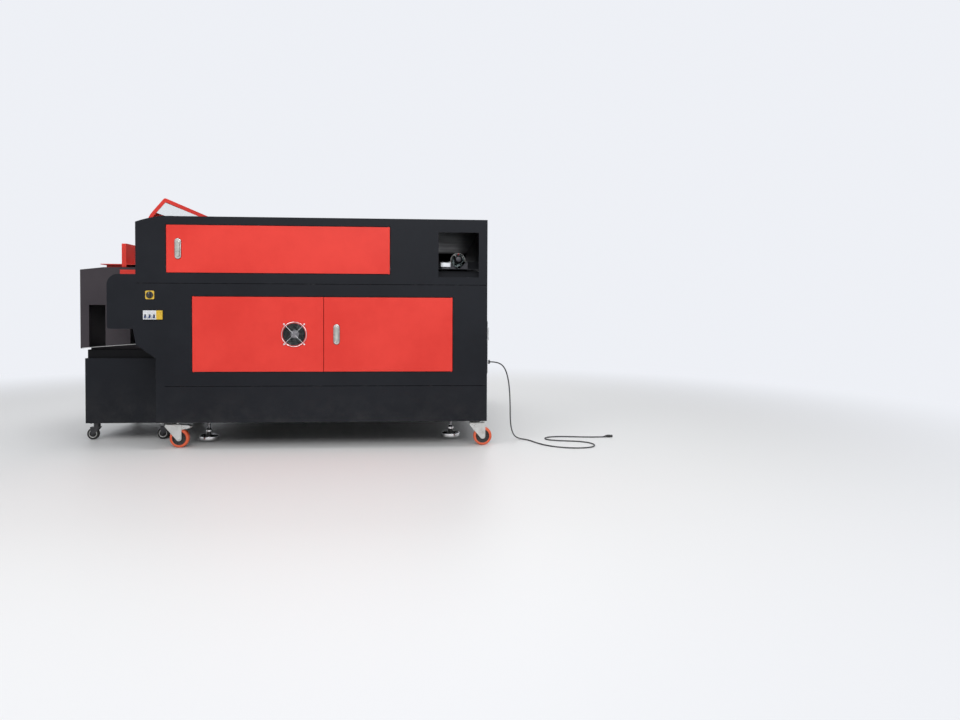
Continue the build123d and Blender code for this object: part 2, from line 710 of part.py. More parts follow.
def make_rear_panel():
    """Rear sheet with the slot that the material is fed through and its vents."""
    sheet_x = (LENGTH - SHEET, LENGTH)
    panel = WRAP & block((sheet_x[0], LENGTH + THROUGH), WIDE, (BOTTOM + SHEET, TOP + THROUGH))
    slot = (NOSE_TOP - FEED_SLOT_DROP, SHELF_Z - FEED_SLOT_BELOW_SHELF)
    panel -= block(past(sheet_x), (-CHEEK_INNER, CHEEK_INNER), slot)
    plane = Plane(origin=(LENGTH + THROUGH, 0, 0), x_dir=(0, 1, 0), z_dir=(1, 0, 0))
    return panel - extrude(plane * vents(VENT_SPREAD), amount=-SHEET - 2 * THROUGH)


def square_tube(x, y, z, axis, wall=TUBE_WALL):
    """Box-section tube, open along one axis."""
    limits = [x, y, z]
    hollow = [within(pair, wall) for pair in limits]
    hollow[axis] = past(limits[axis])
    return block(*limits) - block(*hollow)


def make_base_frame():
    """Welded frame: floor ring and pan, posts and the two side beams that carry the gantry rails."""
    floor = (BOTTOM, BOTTOM + TUBE)
    top = (RAIL_Z - TUBE, RAIL_Z)
    x = (FOOT_X + SHEET, LENGTH - SHEET)
    side = around(FRAME_Y, TUBE)
    lower_beam = square_tube(x, side, floor, 0)
    upper_beam = square_tube((POST_X[0] - POST / 2, x[1]), side, top, 0)
    frame = both(lower_beam + upper_beam)
    for at in CROSS_X:
        frame += square_tube(around(at, TUBE), (-side[0], side[0]), floor, 1)
    frame += block(x, (-INNER, INNER), (floor[1], PAN_TOP))
    for at in POST_X:
        frame += both(square_tube(around(at, POST), around(FRAME_Y, POST), (PAN_TOP, top[0]), 2))
    for at in FEET_X:
        for y in (-FEET_Y, FEET_Y):
            frame -= rod_z((at, y), past((BOTTOM, BOTTOM + TUBE_WALL)), FOOT_STEM)
    return frame


def make_bed_frame():
    """Conveyor bed: cheeks that carry the rollers, side brackets, cross tubes and the slats on them."""
    cheek_y = (CHEEK_INNER, CHEEK_INNER + CHEEK_THICK)
    ends = (FRONT_ROLLER_X, REAR_ROLLER_X)
    cheek = block(ends, cheek_y, around(ROLLER_Z, CHEEK_HEIGHT))
    for x in ends:
        cheek += rod_y((x, ROLLER_Z), cheek_y, CHEEK_HEIGHT)
    for x in ends:
        cheek -= rod_y((x, ROLLER_Z), past(cheek_y), SHAFT + 2 * RUNNING)
    foot_thick, foot_height = BED_ARM_FOOT
    beam_y = FRAME_Y - TUBE / 2
    arm_low = RAIL_Z - TUBE
    sides = [cheek]
    for x in BED_TUBES_X:
        if x > POST_X[0]:
            width = around(x, BED_TUBE)
            foot = block(width, (beam_y - foot_thick, beam_y), (arm_low, arm_low + foot_height))
            arm = block(width, (cheek_y[1], beam_y - foot_thick), (arm_low, arm_low + BED_ARM_THICK))
            sides.append(foot + arm)
    pieces = sides + [mirror(piece, about=Plane.XZ) for piece in sides]
    for x in BED_TUBES_X:
        tube_z = around(ROLLER_Z, BED_TUBE)
        pieces.append(square_tube(around(x, BED_TUBE), (-CHEEK_INNER, CHEEK_INNER), tube_z, 1))
    for index in range(DECK_SLATS):
        y = -BELT_HALF + (index + 0.5) * 2 * BELT_HALF / DECK_SLATS
        pieces.append(block(BED_ENDS, around(y, DECK_SLAT), (ROLLER_Z + BED_TUBE / 2, ROLLER_Z + ROLLER / 2)))
    return assembly(pieces)


def make_conveyor_belt():
    """Endless belt over both rollers."""
    length = REAR_ROLLER_X - FRONT_ROLLER_X
    inner = ROLLER + 2 * BELT_CLEAR
    middle = Pos((FRONT_ROLLER_X + REAR_ROLLER_X) / 2, ROLLER_Z)
    outside = SlotCenterToCenter(length, inner + 2 * BELT)
    loop = outside - SlotCenterToCenter(length, inner)
    return prism(middle * loop, (-BELT_HALF, BELT_HALF))


def make_roller(x):
    """Conveyor roller with stub shafts in the cheeks."""
    at = (x, ROLLER_Z)
    body = rod_y(at, (-ROLLER_HALF, ROLLER_HALF), ROLLER)
    bore = ROLLER - 2 * ROLLER_WALL
    for face in (-ROLLER_HALF, ROLLER_HALF):
        body -= rod_y(at, (face, face - math.copysign(ROLLER_DISH, face)), bore)
    inside = ROLLER_HALF - 2 * ROLLER_DISH
    body -= rod_y(at, (-inside, inside), bore)
    reach = CHEEK_INNER + CHEEK_THICK
    return body + rod_y(at, (-reach, reach), SHAFT)


def make_gantry_rails():
    """Two linear rails on their base strips."""
    strip_top = RAIL_Z + RAIL_STRIP
    strip = block(RAIL_X, around(FRAME_Y, RAIL_BASE), (RAIL_Z, strip_top))
    section = around(FRAME_Y, RAIL_WIDTH)
    rail = block(RAIL_X, section, (strip_top, RAIL_TOP))
    deep, high = RAIL_GROOVE
    for side in section:
        rail -= block(RAIL_X, around(side, 2 * deep), around((strip_top + RAIL_TOP) / 2, high))
    return both(strip + rail)


def make_gantry_beam():
    """Slotted aluminium beam on two carriages that straddle the rails."""
    x = around(BEAM_X, CARRIAGE)
    side = around(FRAME_Y, RAIL_WIDTH + 2 * CARRIAGE_CHEEK)
    carriage = block(x, side, (CARRIAGE_LOW, BEAM_LOW))
    slot_y = around(FRAME_Y, RAIL_WIDTH + 2 * SLIDE_CLEAR)
    carriage -= block(past(x), slot_y, (CARRIAGE_LOW - THROUGH, RAIL_TOP + SLIDE_CLEAR))
    back = BEAM_X + BEAM_DEPTH / 2
    beam = block((BEAM_FRONT, back), (-side[1], side[1]), (BEAM_LOW, BEAM_HIGH))
    hollow_x = (BEAM_FRONT + BEAM_FACE_WALL, back - BEAM_WALL)
    beam -= block(hollow_x, WIDE, within((BEAM_LOW, BEAM_HIGH), BEAM_WALL))
    for z in within((BEAM_LOW, BEAM_HIGH), BEAM_GROOVE_INSET):
        groove_x = (BEAM_FRONT - THROUGH, BEAM_FRONT + BEAM_GROOVE_DEEP)
        beam -= block(groove_x, WIDE, around(z, BEAM_GROOVE))
    return both(carriage) + beam


def make_laser_head():
    """Cutting head: back plate with its tongues, mirror block, lens tube, nut and nozzle."""
    y = around(HEAD_Y, HEAD_WIDTH)
    plate_x = (BEAM_FRONT - SLIDE_CLEAR - HEAD_PLATE, BEAM_FRONT - SLIDE_CLEAR)
    head = block(plate_x, y, (BEAM_LOW - HEAD_REACH[0], BEAM_HIGH + HEAD_REACH[1]))
    for z in within((BEAM_LOW, BEAM_HIGH), BEAM_GROOVE_INSET):
        tongue_x = (plate_x[1] - THROUGH, BEAM_FRONT + BEAM_GROOVE_DEEP - HANDLE_CLEAR)
        head += block(tongue_x, within(y, BEAM_GROOVE), around(z, BEAM_GROOVE - 2 * SLIDE_CLEAR))
    block_x = (plate_x[0] - HEAD_BLOCK, plate_x[0])
    low = BEAM_LOW + HEAD_BLOCK_INSET[0]
    housing = block(block_x, around(HEAD_Y, HEAD_BLOCK), (low, BEAM_HIGH - HEAD_BLOCK_INSET[1]))
    head += chamfer(housing.edges().filter_by(Axis.Z).group_by(Axis.X)[0], HEAD_CHAMFER)
    tip = BELT_TOP + NOZZLE_HEIGHT
    cone_top = tip + NOZZLE_CONE
    axis = (sum(block_x) / 2, HEAD_Y)
    head += rod_z(axis, (cone_top, low), LENS_TUBE)
    nut, nut_height, nut_drop = LENS_NUT
    head += rod_z(axis, (BEAM_LOW - nut_drop, BEAM_LOW - nut_drop + nut_height), nut)
    head += Pos(*axis, tip + NOZZLE_CONE / 2) * Cone(NOZZLE_TIP / 2, LENS_TUBE / 2, NOZZLE_CONE)
    return head - rod_z(axis, (tip - THROUGH, cone_top), NOZZLE_BORE)


def make_laser_tube():
    """Sealed glass tube with a narrower cap and a tip on each end."""
    half = TUBE_LENGTH / 2
    glass = half - TUBE_NECK_LENGTH
    radius, neck = TUBE_DIAMETER / 2, TUBE_NECK / 2
    tip, tip_length = TUBE_TIP
    quarter = [
        (radius, glass), (neck, glass + TUBE_SHOULDER), (neck, half - tip_length),
        (tip, half - tip_length), (tip, half), (0, half),
    ]
    points = [(r, -y) for r, y in reversed(quarter)] + quarter
    tube = revolve(make_face(Polyline(*points, close=True)), Axis.Y)
    return Pos(TUBE_X, 0, TUBE_Z) * tube


def make_tube_shelf():
    """Turned-down shelf across the body, under the laser tube."""
    x = (SHELF_X, LENGTH - SHEET)
    shelf = block(x, (-INNER, INNER), (SHELF_Z - SHEET, SHELF_Z))
    between = FRAME_Y - TUBE / 2
    return shelf + block((x[0], x[0] + SHEET), (-between, between), (SHELF_Z - SHELF_LIP, SHELF_Z))


def make_tube_mounts():
    """Four V-blocks under the laser tube."""
    v_bottom = TUBE_Z - (TUBE_DIAMETER / 2 + TUBE_CLEAR) * math.sqrt(2)
    corners = [(0, 0), (TUBE_DIAMETER, TUBE_DIAMETER), (-TUBE_DIAMETER, TUBE_DIAMETER)]
    notch = Pos(TUBE_X, v_bottom) * Polygon(*corners, align=None)
    mounts = Part()
    for y in MOUNT_Y:
        limits = around(y, MOUNT_THICK)
        holder = block(around(TUBE_X, MOUNT_WIDTH), limits, (SHELF_Z, TUBE_Z - MOUNT_DROP))
        mounts += holder - prism(notch, past(limits))
    return mounts


def make_power_supply():
    """Laser power supply: cased block with cooling ribs on its face."""
    length, width, height = SUPPLY
    fin, fin_deep, fin_inset = SUPPLY_FIN
    x = (SUPPLY_X, SUPPLY_X + length)
    front, back = around(SUPPLY_Y, width)
    y = (front + fin_deep, back)
    z = (PAN_TOP, PAN_TOP + height)
    case = block(x, y, z) - block(within(x, SHEET), within(y, SHEET), within(z, SHEET))
    for index in range(SUPPLY_FINS):
        at = x[0] + (index + 0.5) * length / SUPPLY_FINS
        case += block(around(at, fin), (front, y[0]), within(z, fin_inset))
    return case


def pole_middles():
    """Middle of each breaker pole along x."""
    return [BREAKER_X[0] + (index + 0.5) * BREAKER_POLE for index in range(BREAKER_POLES)]


def make_breaker_block():
    """Three-pole breaker and the module beside it, in the near side's cut-out."""
    y = (-HALF - BREAKER_PROUD, -HALF + BREAKER_DEEP)
    body = block(BREAKER_X, y, BREAKER_Z)
    module_x = (BREAKER_X[1], BREAKER_END)
    module_face = y[0] + MODULE_SUNK
    module = block(module_x, (module_face, y[1]), BREAKER_Z)
    side, end = MODULE_WINDOW
    module -= block(within(module_x, side), (y[0], module_face + MODULE_SUNK), within(BREAKER_Z, end))
    slot, slot_deep = LEVER_SLOT
    groove, groove_deep = POLE_GROOVE
    for index, x in enumerate(pole_middles()):
        body -= block(around(x, slot), (y[0] - THROUGH, y[0] + slot_deep), LEVER_SLOT_Z)
        if index:
            joint = around(x - BREAKER_POLE / 2, groove)
            body -= block(joint, (y[0] - THROUGH, y[0] + groove_deep), BREAKER_Z)
    body -= rod_x(within(BREAKER_X, LEVER_PIN_INSET), LEVER_PIVOT, LEVER_PIN + 2 * RUNNING)
    return body + module


def make_breaker_levers():
    """Three toggles on one pivot pin, tied by a bar."""
    y, z = LEVER_PIVOT
    face = -HALF - BREAKER_PROUD
    width, length = LEVER
    levers = rod_x(within(BREAKER_X, LEVER_PIN_INSET + THROUGH), LEVER_PIVOT, LEVER_PIN)
    root, end = LEVER_ROOT, LEVER_END
    section = Polygon((-root, 0), (root, 0), (end, length), (-end, length), align=None)
    middles = pole_middles()
    for x in middles:
        start = x - width / 2
        plane = Plane(origin=(start, y, z), x_dir=(0, 0, 1), z_dir=(1, 0, 0))
        levers += extrude(plane * section, amount=width)
    tie_near, tie_far = LEVER_TIE
    ends = (middles[0] - width / 2, middles[-1] + width / 2)
    levers += block(ends, (face - tie_far, face - tie_near), around(z, LEVER_TIE_HEIGHT))
    return levers.rotate(Axis((0, y, z), (1, 0, 0)), LEVER_DOWN_DEG)


def make_switch_plate():
    """Plain square escutcheon of the main switch, with the switch's body behind."""
    at = (SWITCH_X, SWITCH_Z)
    diameter, deep = SWITCH_BODY
    spindle, spindle_deep = KNOB_SPINDLE
    face = block(around(SWITCH_X, SWITCH_SIZE), (-HALF - SWITCH_PLATE, -HALF), around(SWITCH_Z, SWITCH_SIZE))
    face = fillet(face.edges().filter_by(Axis.Y), SWITCH_CORNER)
    face += rod_y(at, (-HALF, -HALF + deep), diameter)
    return face - rod_y(at, (-HALF - SWITCH_PLATE - THROUGH, -HALF + spindle_deep), spindle + 2 * RUNNING)


def make_switch_knob():
    """Rotary knob with a raised grip on its spindle."""
    at = (SWITCH_X, SWITCH_Z)
    seat = -HALF - SWITCH_PLATE - HANDLE_CLEAR
    diameter, thick = KNOB
    width, length, reach = KNOB_GRIP
    spindle, deep = KNOB_SPINDLE
    knob = rod_y(at, (seat - thick, seat), diameter)
    grip = block(around(SWITCH_X, width), (seat - thick - reach, seat - thick / 2), around(SWITCH_Z, length))
    grip = fillet(grip.edges().filter_by(Axis.Y), width * 0.45)
    return knob + grip + rod_y(at, (seat - thick / 2, seat + deep), spindle)


def make_socket_plate():
    """Connection plate on stand-offs at the rear, with the cable's gland and a covered outlet."""
    x = (LENGTH + SOCKET_OFF, LENGTH + SOCKET_OFF + SOCKET_THICK)
    y = around(SOCKET_Y, SOCKET_WIDTH)
    plate = block(x, y, SOCKET_Z)
    post, inset = STANDOFF
    for at_y in within(y, inset):
        for at_z in within(SOCKET_Z, inset):
            plate += rod_x((LENGTH, x[1] - SOCKET_THICK / 2), (at_y, at_z), post)
    outlet_z = SOCKET_Z[1] - OUTLET_DROP
    width, height, proud = OUTLET
    bore, bore_deep = OUTLET_BORE
    face = x[1] + proud
    plate += block((x[1] - SOCKET_THICK / 2, face), around(SOCKET_Y, width), around(outlet_z, height))
    plate -= rod_x((face - bore_deep, face + THROUGH), (SOCKET_Y, outlet_z), bore)
    across, nut_length = GLAND_NUT
    plane = Plane(origin=(x[1], SOCKET_Y, CABLE_Z), x_dir=(0, 1, 0), z_dir=(1, 0, 0))
    plate += extrude(plane * RegularPolygon(across / 2, 6), amount=nut_length)
    return plate + rod_x((x[1], x[1] + GLAND_LENGTH), (SOCKET_Y, CABLE_Z), GLAND)


def stadium_prism(at, width, height, y):
    """Upright stadium-shaped plate about a point in x and z."""
    return prism(Pos(*at) * Rot(0, 0, 90) * SlotOverall(height, width), y)


def door_leaf(x, z, hinge_x):
    """Door folded as a shallow pan, with a hinge pin above and below."""
    outer = -HALF - DOOR_PROUD
    x, z = within(x, DOOR_GAP), within(z, DOOR_GAP)
    leaf = block(x, (outer, outer + DOOR_DEPTH), z)
    leaf = fillet(leaf.edges().filter_by(Axis.Z).group_by(Axis.Y)[0], DOOR_EDGE)
    back = (outer + DOOR_SHEET, outer + DOOR_DEPTH + THROUGH)
    leaf -= block(within(x, DOOR_SHEET), back, within(z, DOOR_SHEET))
    at = (hinge_x, outer + HINGE_INSET)
    leaf += rod_z(at, (z[1] - DOOR_SHEET / 2, z[1] + HINGE_PIN_REACH), HINGE_PIN)
    return leaf + rod_z(at, (z[0] - HINGE_PIN_REACH, z[0] + DOOR_SHEET / 2), HINGE_PIN)


def lock_hole(at):
    """Hole through a door for the lock's barrel."""
    outer = -HALF - DOOR_PROUD
    return rod_y(at, past((outer, outer + DOOR_SHEET)), LOCK_HOLE)


def make_upper_door():
    """Long upper door, hinged at its rear end."""
    return door_leaf(UPPER_DOOR_X, UPPER_DOOR_Z, UPPER_HINGE_X) - lock_hole(UPPER_LOCK)


def make_right_door():
    """Right lower door, hinged at its rear end."""
    x = (LOWER_SPLIT_X - DOOR_GAP / 2, LOWER_DOOR_X[1])
    return door_leaf(x, LOWER_DOOR_Z, RIGHT_HINGE_X) - lock_hole(LOWER_LOCK)


def make_left_door():
    """Left lower door with the fan's opening, hinged at its front end."""
    x = (LOWER_DOOR_X[0], LOWER_SPLIT_X + DOOR_GAP / 2)
    leaf = door_leaf(x, LOWER_DOOR_Z, LEFT_HINGE_X)
    outer = -HALF - DOOR_PROUD
    return leaf - rod_y((FAN_X, FAN_Z), past((outer, outer + DOOR_SHEET)), FAN_BORE)


def make_lock(at):
    """Chromed lock body: stadium plate on a threaded barrel with its nut."""
    outer = -HALF - DOOR_PROUD
    face = outer - LOCK_THICK
    plate = stadium_prism(at, LOCK_WIDTH, LOCK_HEIGHT, (face, outer))
    plate = fillet(plate.faces().sort_by(Axis.Y)[0].edges(), LOCK_EDGE)
    barrel_end = outer + DOOR_DEPTH
    plate += rod_y(at, (outer, barrel_end), LOCK_BARREL)
    nut, nut_thick = LOCK_NUT
    inner = outer + DOOR_SHEET
    plate += rod_y(at, (inner, inner + nut_thick), nut)
    return plate - rod_y(at, past((face, barrel_end)), HANDLE_SPINDLE + 2 * RUNNING)


def make_lock_handle(at):
    """Turn handle on the lock's face, its spindle through the door and the cam behind."""
    seat = -HALF - DOOR_PROUD - LOCK_THICK - HANDLE_CLEAR
    handle = stadium_prism(at, HANDLE_WIDTH, HANDLE_HEIGHT, (seat - HANDLE_THICK, seat))
    handle = fillet(handle.faces().sort_by(Axis.Y)[0].edges(), HANDLE_EDGE)
    cam_y = -HALF + TURN_IN + CAM_CLEAR
    handle += rod_y(at, (seat - HANDLE_THICK / 2, cam_y + CAM_THICK), HANDLE_SPINDLE)
    cam_z = (at[1] - CAM_LENGTH, at[1] + CAM_WIDTH / 2)
    cam = block(around(at[0], CAM_WIDTH), (cam_y, cam_y + CAM_THICK), cam_z)
    return handle + fillet(cam.edges().filter_by(Axis.Y), CAM_CORNER)


def make_fan_frame():
    """Square fan housing with its bore, corner ears and the motor's four struts."""
    at = (FAN_X, FAN_Z)
    near = -HALF - DOOR_PROUD + DOOR_SHEET
    far = near + FAN_DEPTH
    body = block(around(FAN_X, FAN_SIZE), (near, far), around(FAN_Z, FAN_SIZE))
    body = fillet(body.edges().filter_by(Axis.Y), FAN_CORNER)
    waist_y = within((near, far), FAN_WALL)
    wide = FAN_SIZE + 2 * THROUGH
    waist = block(around(FAN_X, wide), waist_y, around(FAN_Z, wide)) - rod_y(at, waist_y, FAN_SIZE)
    body -= waist
    body -= rod_y(at, past((near, far)), FAN_BORE)
    back = (far - FAN_BACK, far)
    body += rod_y(at, back, FAN_HUB)
    half = FAN_STRUT / 2
    strut = block((FAN_HUB / 2 - half, FAN_BORE / 2 + THROUGH), (-half, half), (-half, half))
    for turn in range(4):
        body += Pos(FAN_X, sum(back) / 2, FAN_Z) * Rot(0, 45 + 90 * turn, 0) * strut
    body -= rod_y(at, (back[0] - THROUGH, far - FAN_SPINDLE_SEAT), FAN_SPINDLE + 2 * RUNNING)
    for x in around(FAN_X, FAN_SCREW_PITCH):
        for z in around(FAN_Z, FAN_SCREW_PITCH):
            body -= rod_y((x, z), past((near, far)), FAN_SCREW_HOLE)
    return body


def make_fan_rotor():
    """Hub cup with pitched blades on a short spindle."""
    at = (FAN_X, FAN_Z)
    near = -HALF - DOOR_PROUD + DOOR_SHEET
    front, back = near + ROTOR_INSET[0], near + FAN_DEPTH - ROTOR_INSET[1]
    hub = rod_y(at, (front, back), FAN_HUB)
    hub = fillet(hub.faces().sort_by(Axis.Y)[0].edges(), FAN_HUB_EDGE)
    tip = FAN_BORE / 2 - FAN_TIP_GAP
    thick, chord = FAN_BLADE
    root = FAN_HUB / 2 - thick
    flat = Pos((tip + root) / 2, 0, 0) * Rot(FAN_PITCH_DEG, 0, 0) * Box(tip - root, thick, chord)
    for index in range(FAN_BLADES):
        turn = index * 360 / FAN_BLADES
        hub += Pos(FAN_X, (front + back) / 2, FAN_Z) * Rot(0, turn, 0) * flat
    hub &= rod_y(at, past((front, back)), 2 * tip)
    spindle_end = near + FAN_DEPTH - FAN_SPINDLE_SEAT - THROUGH
    return hub + rod_y(at, (back - THROUGH, spindle_end), FAN_SPINDLE)


def make_fan_guard():
    """Finger guard: wire rings welded to four diagonal wires that run out to the screws."""
    face = -HALF - DOOR_PROUD
    ring_y = face - GUARD_PROUD + GUARD_WIRE / 2
    guard = Part()
    for radius in GUARD_RINGS:
        guard += Pos(FAN_X, ring_y, FAN_Z) * Rot(90, 0, 0) * Torus(radius, GUARD_WIRE / 2)
    inner, outer = GUARD_CENTRE / 3, FAN_SCREW_PITCH / math.sqrt(2)
    wire_y = ring_y + GUARD_WIRE * GUARD_WELD
    for turn in range(4):
        angle = math.radians(45 + 90 * turn)
        along = (math.cos(angle), math.sin(angle))
        start = (FAN_X + inner * along[0], wire_y, FAN_Z + inner * along[1])
        end = (FAN_X + outer * along[0], wire_y, FAN_Z + outer * along[1])
        guard += rod(start, end, GUARD_WIRE)
        guard += rod_y((end[0], end[2]), (wire_y - GUARD_WIRE, face), GUARD_EYE)
    return guard + rod_y((FAN_X, FAN_Z), around(wire_y, GUARD_WIRE), GUARD_CENTRE)


def lid_region():
    """Closed lid's section, filled: flat top, tight corner, bulged front."""
    hinge_edge = LID_HINGE_X - LID_KNUCKLE / 2
    slope = (TOP - LID_CORNER[1]) / (hinge_edge - LID_CORNER[0])
    back = hinge_edge + LID_DEEP
    low = LID_LOWER - LID_DEEP
    points = [
        (back, TOP + slope * LID_DEEP), LID_CORNER, LID_KNEE, (LID_KNEE[0] + LID_TUCK, low), (back, low),
    ]
    face = make_face(Polyline(*points, close=True))
    corner = face.vertices().sort_by_distance((*LID_CORNER, 0))[0]
    face = fillet(corner, LID_CORNER_RADIUS)
    knee = face.vertices().sort_by_distance((*LID_KNEE, 0))[0]
    return fillet(knee, LID_KNEE_RADIUS)


LID_REGION = lid_region()


def lid_band(outer, inner, y, x_end, z_end):
    """Layer of the lid's section between two depths, run along y and cut at its ends."""
    face = offset(LID_REGION, -outer) if outer else LID_REGION
    layer = prism(face - offset(LID_REGION, -inner), y)
    zone = block((LID_KNEE[0] - LID_DEEP, x_end), WIDE, (z_end, TOP + LID_DEEP))
    return layer & zone


def open_lid(piece):
    """Turns a closed lid piece up to the pose in which the lid stands."""
    axis = Axis((LID_HINGE_X, 0, TOP + LID_HINGE_RISE), (0, 1, 0))
    return piece.rotate(axis, LID_OPEN_DEG)


def make_lid_shell():
    """Lid sheet with folded ends, window cut-outs, centre knuckles, pins and a grip."""
    hinge_edge = LID_HINGE_X - LID_KNUCKLE / 2
    shell = lid_band(0, LID_SHEET, (-LID_HALF, LID_HALF), hinge_edge, LID_LOWER)
    shell += both(lid_band(0, LID_RIM, (LID_HALF - LID_SHEET, LID_HALF), hinge_edge, LID_LOWER))
    window_y = (WINDOW_MARGIN - LID_HALF, LID_HALF - WINDOW_MARGIN)
    top_x = (LID_CORNER[0] + WINDOW_MARGIN, hinge_edge - WINDOW_MARGIN)
    shell -= block(top_x, window_y, (LIP_WINDOW_Z[1], TOP + LID_RIM))
    shell -= block((LID_KNEE[0] - WINDOW_MARGIN, LID_CORNER[0] + THROUGH), window_y, LIP_WINDOW_Z)
    axis = (LID_HINGE_X, TOP + LID_HINGE_RISE)
    for y in LID_HINGES_Y:
        limits = around(y, LID_HINGE_LENGTH / 3 - LID_GAP / 2)
        leaf = block((hinge_edge - LID_LEAF, LID_HINGE_X), limits, (TOP - LID_LEAF_LAP, TOP + LID_LEAF_THICK))
        leaf -= block((hinge_edge, LID_HINGE_X), limits, (TOP - LID_RIM, TOP))
        shell += leaf + rod_y(axis, limits, LID_KNUCKLE)
        shell += rod_y(axis, around(y, LID_HINGE_LENGTH), LID_PIN)
    grip_x = (LID_KNEE[0] - GRIP_DEPTH, LID_KNEE[0] + 2 * LID_SHEET)
    grip_z = (LID_LOWER + GRIP_RISE, LID_LOWER + GRIP_RISE + GRIP_HEIGHT)
    shell += block(grip_x, around(0, GRIP_LENGTH), grip_z)
    return open_lid(shell)


def make_lid_window():
    """Clear sheet bent to the lid's section, behind both cut-outs."""
    half = LID_HALF - WINDOW_MARGIN + WINDOW_LAP
    x_end = LID_HINGE_X - LID_KNUCKLE / 2 - WINDOW_MARGIN + WINDOW_LAP
    z_end = LIP_WINDOW_Z[0] - WINDOW_LAP
    return open_lid(lid_band(LID_SHEET, LID_SHEET + WINDOW_SHEET, (-half, half), x_end, z_end))


def caster_fork(at, wheel, tread, trail, plate, mount_z):
    """Swivel fork: race, two raked legs, axle and the kingpin in the plate."""
    x, y = at
    length, _, plate_thick = plate
    radius = wheel / 2
    crown = wheel + FORK_CLEAR
    leg_top = crown + plate_thick
    thick = plate_thick * LEG_SHARE
    inner = tread / 2 + FORK_CLEAR * FORK_SIDE_SHARE
    half = length * FORK_SHARE
    hub = radius * HUB_SHARE
    behind = math.copysign(1, trail)
    crown_x = sorted((x - behind * half, x + trail + behind * wheel * FORK_REACH_SHARE))
    fork = block(crown_x, (y - inner - thick, y + inner + thick), (crown, leg_top))
    crown_edge = Pos(sum(crown_x) / 2, leg_top - thick / 2) * Rectangle(crown_x[1] - crown_x[0], thick)
    section = make_hull((Pos(x + trail, radius) * Circle(hub)).edges() + crown_edge.edges())
    leg = prism(section, (y + inner, y + inner + thick))
    fork += leg + Pos(0, -2 * inner - thick, 0) * leg
    race_top = mount_z - HANDLE_CLEAR
    fork += rod_z(at, (leg_top - thick / 2, race_top), 2 * half * RACE_SHARE)
    fork += rod_z(at, (race_top - thick / 2, mount_z + plate_thick - PANEL_FIT / 2), length * KINGPIN_SHARE)
    reach = inner + thick + hub * AXLE_END_SHARE
    return fork + rod_y((x + trail, radius), (y - reach, y + reach), hub * AXLE_SHARE)


def caster_wheel(at, wheel, tread, trail):
    """Wheel with a domed tread, a recessed web and a hub that runs between the fork's legs."""
    x, y = at
    radius, half = wheel / 2, tread / 2
    hub = radius * WHEEL_HUB_SHARE
    bore = radius * HUB_SHARE * AXLE_SHARE / 2 + RUNNING
    web = half * WHEEL_WEB_SHARE
    rim = radius * WHEEL_RIM_SHARE
    crown = half * WHEEL_CROWN_SHARE
    side = [
        (radius, half - 2 * crown), (radius - crown, half), (rim, half), (rim, web),
        (hub, web), (hub, half), (bore, half),
    ]
    points = [(r, -across) for r, across in reversed(side)] + side
    section = make_face(Polyline(*points, close=True))
    return Pos(x + trail, y, radius) * revolve(section, Axis.Y)


def caster_plate(at, plate, mount_z):
    """Flat plate on the frame, bored for the kingpin, with four bolt heads."""
    x, y = at
    length, width, thick = plate
    z = (mount_z, mount_z + thick)
    flange = block(around(x, length), around(y, width), z)
    flange = fillet(flange.edges().filter_by(Axis.Z), length * PLATE_CORNER_SHARE)
    for bolt_x in around(x, 2 * length * BOLT_SHARES[0]):
        for bolt_y in around(y, 2 * width * BOLT_SHARES[1]):
            flange += rod_z((bolt_x, bolt_y), (mount_z - thick, mount_z + THROUGH), length * BOLT_SHARE)
    return flange - rod_z(at, past(z), length * KINGPIN_SHARE + 2 * RUNNING)


def machine_casters():
    """Places of the machine's casters, near side first, front to rear."""
    return [(x, y) for y in (-FRAME_Y, FRAME_Y) for x in CASTER_X]


def make_caster_plates():
    """The four machine casters' plates."""
    plates = Part()
    for at in machine_casters():
        plates += caster_plate(at, CASTER_PLATE, BOTTOM - CASTER_PLATE[2])
    return plates


def make_leveling_feet():
    """Four jacked-up levelling feet: disc, neck with its cone nut, stem and jam nut."""
    stem_top = BOTTOM + TUBE - TUBE_WALL
    nut, nut_height = FOOT_NUT
    feet = Part()
    for x, gap in zip(FEET_X, FOOT_GAPS):
        pad = [(FOOT_PAD / 2 - inset, gap + rise) for inset, rise in FOOT_DISC + FOOT_CONE]
        stem = [(FOOT_STEM / 2, gap + FOOT_NECK), (FOOT_STEM / 2, stem_top), (0, stem_top)]
        points = [(0, gap)] + pad + stem
        foot = revolve(Plane.XZ * make_face(Polyline(*points, close=True)), Axis.Z)
        foot += extrude(Pos(0, 0, BOTTOM - nut_height) * RegularPolygon(nut, 6), amount=nut_height)
        for y in (-FEET_Y, FEET_Y):
            feet += Pos(x, y, 0) * foot
    return feet


def console_casters():
    """Places of the console's casters."""
    return [(x, y) for y in within(CONSOLE_Y, CONSOLE_CASTER_INSET) for x in CONSOLE_CASTER_X]


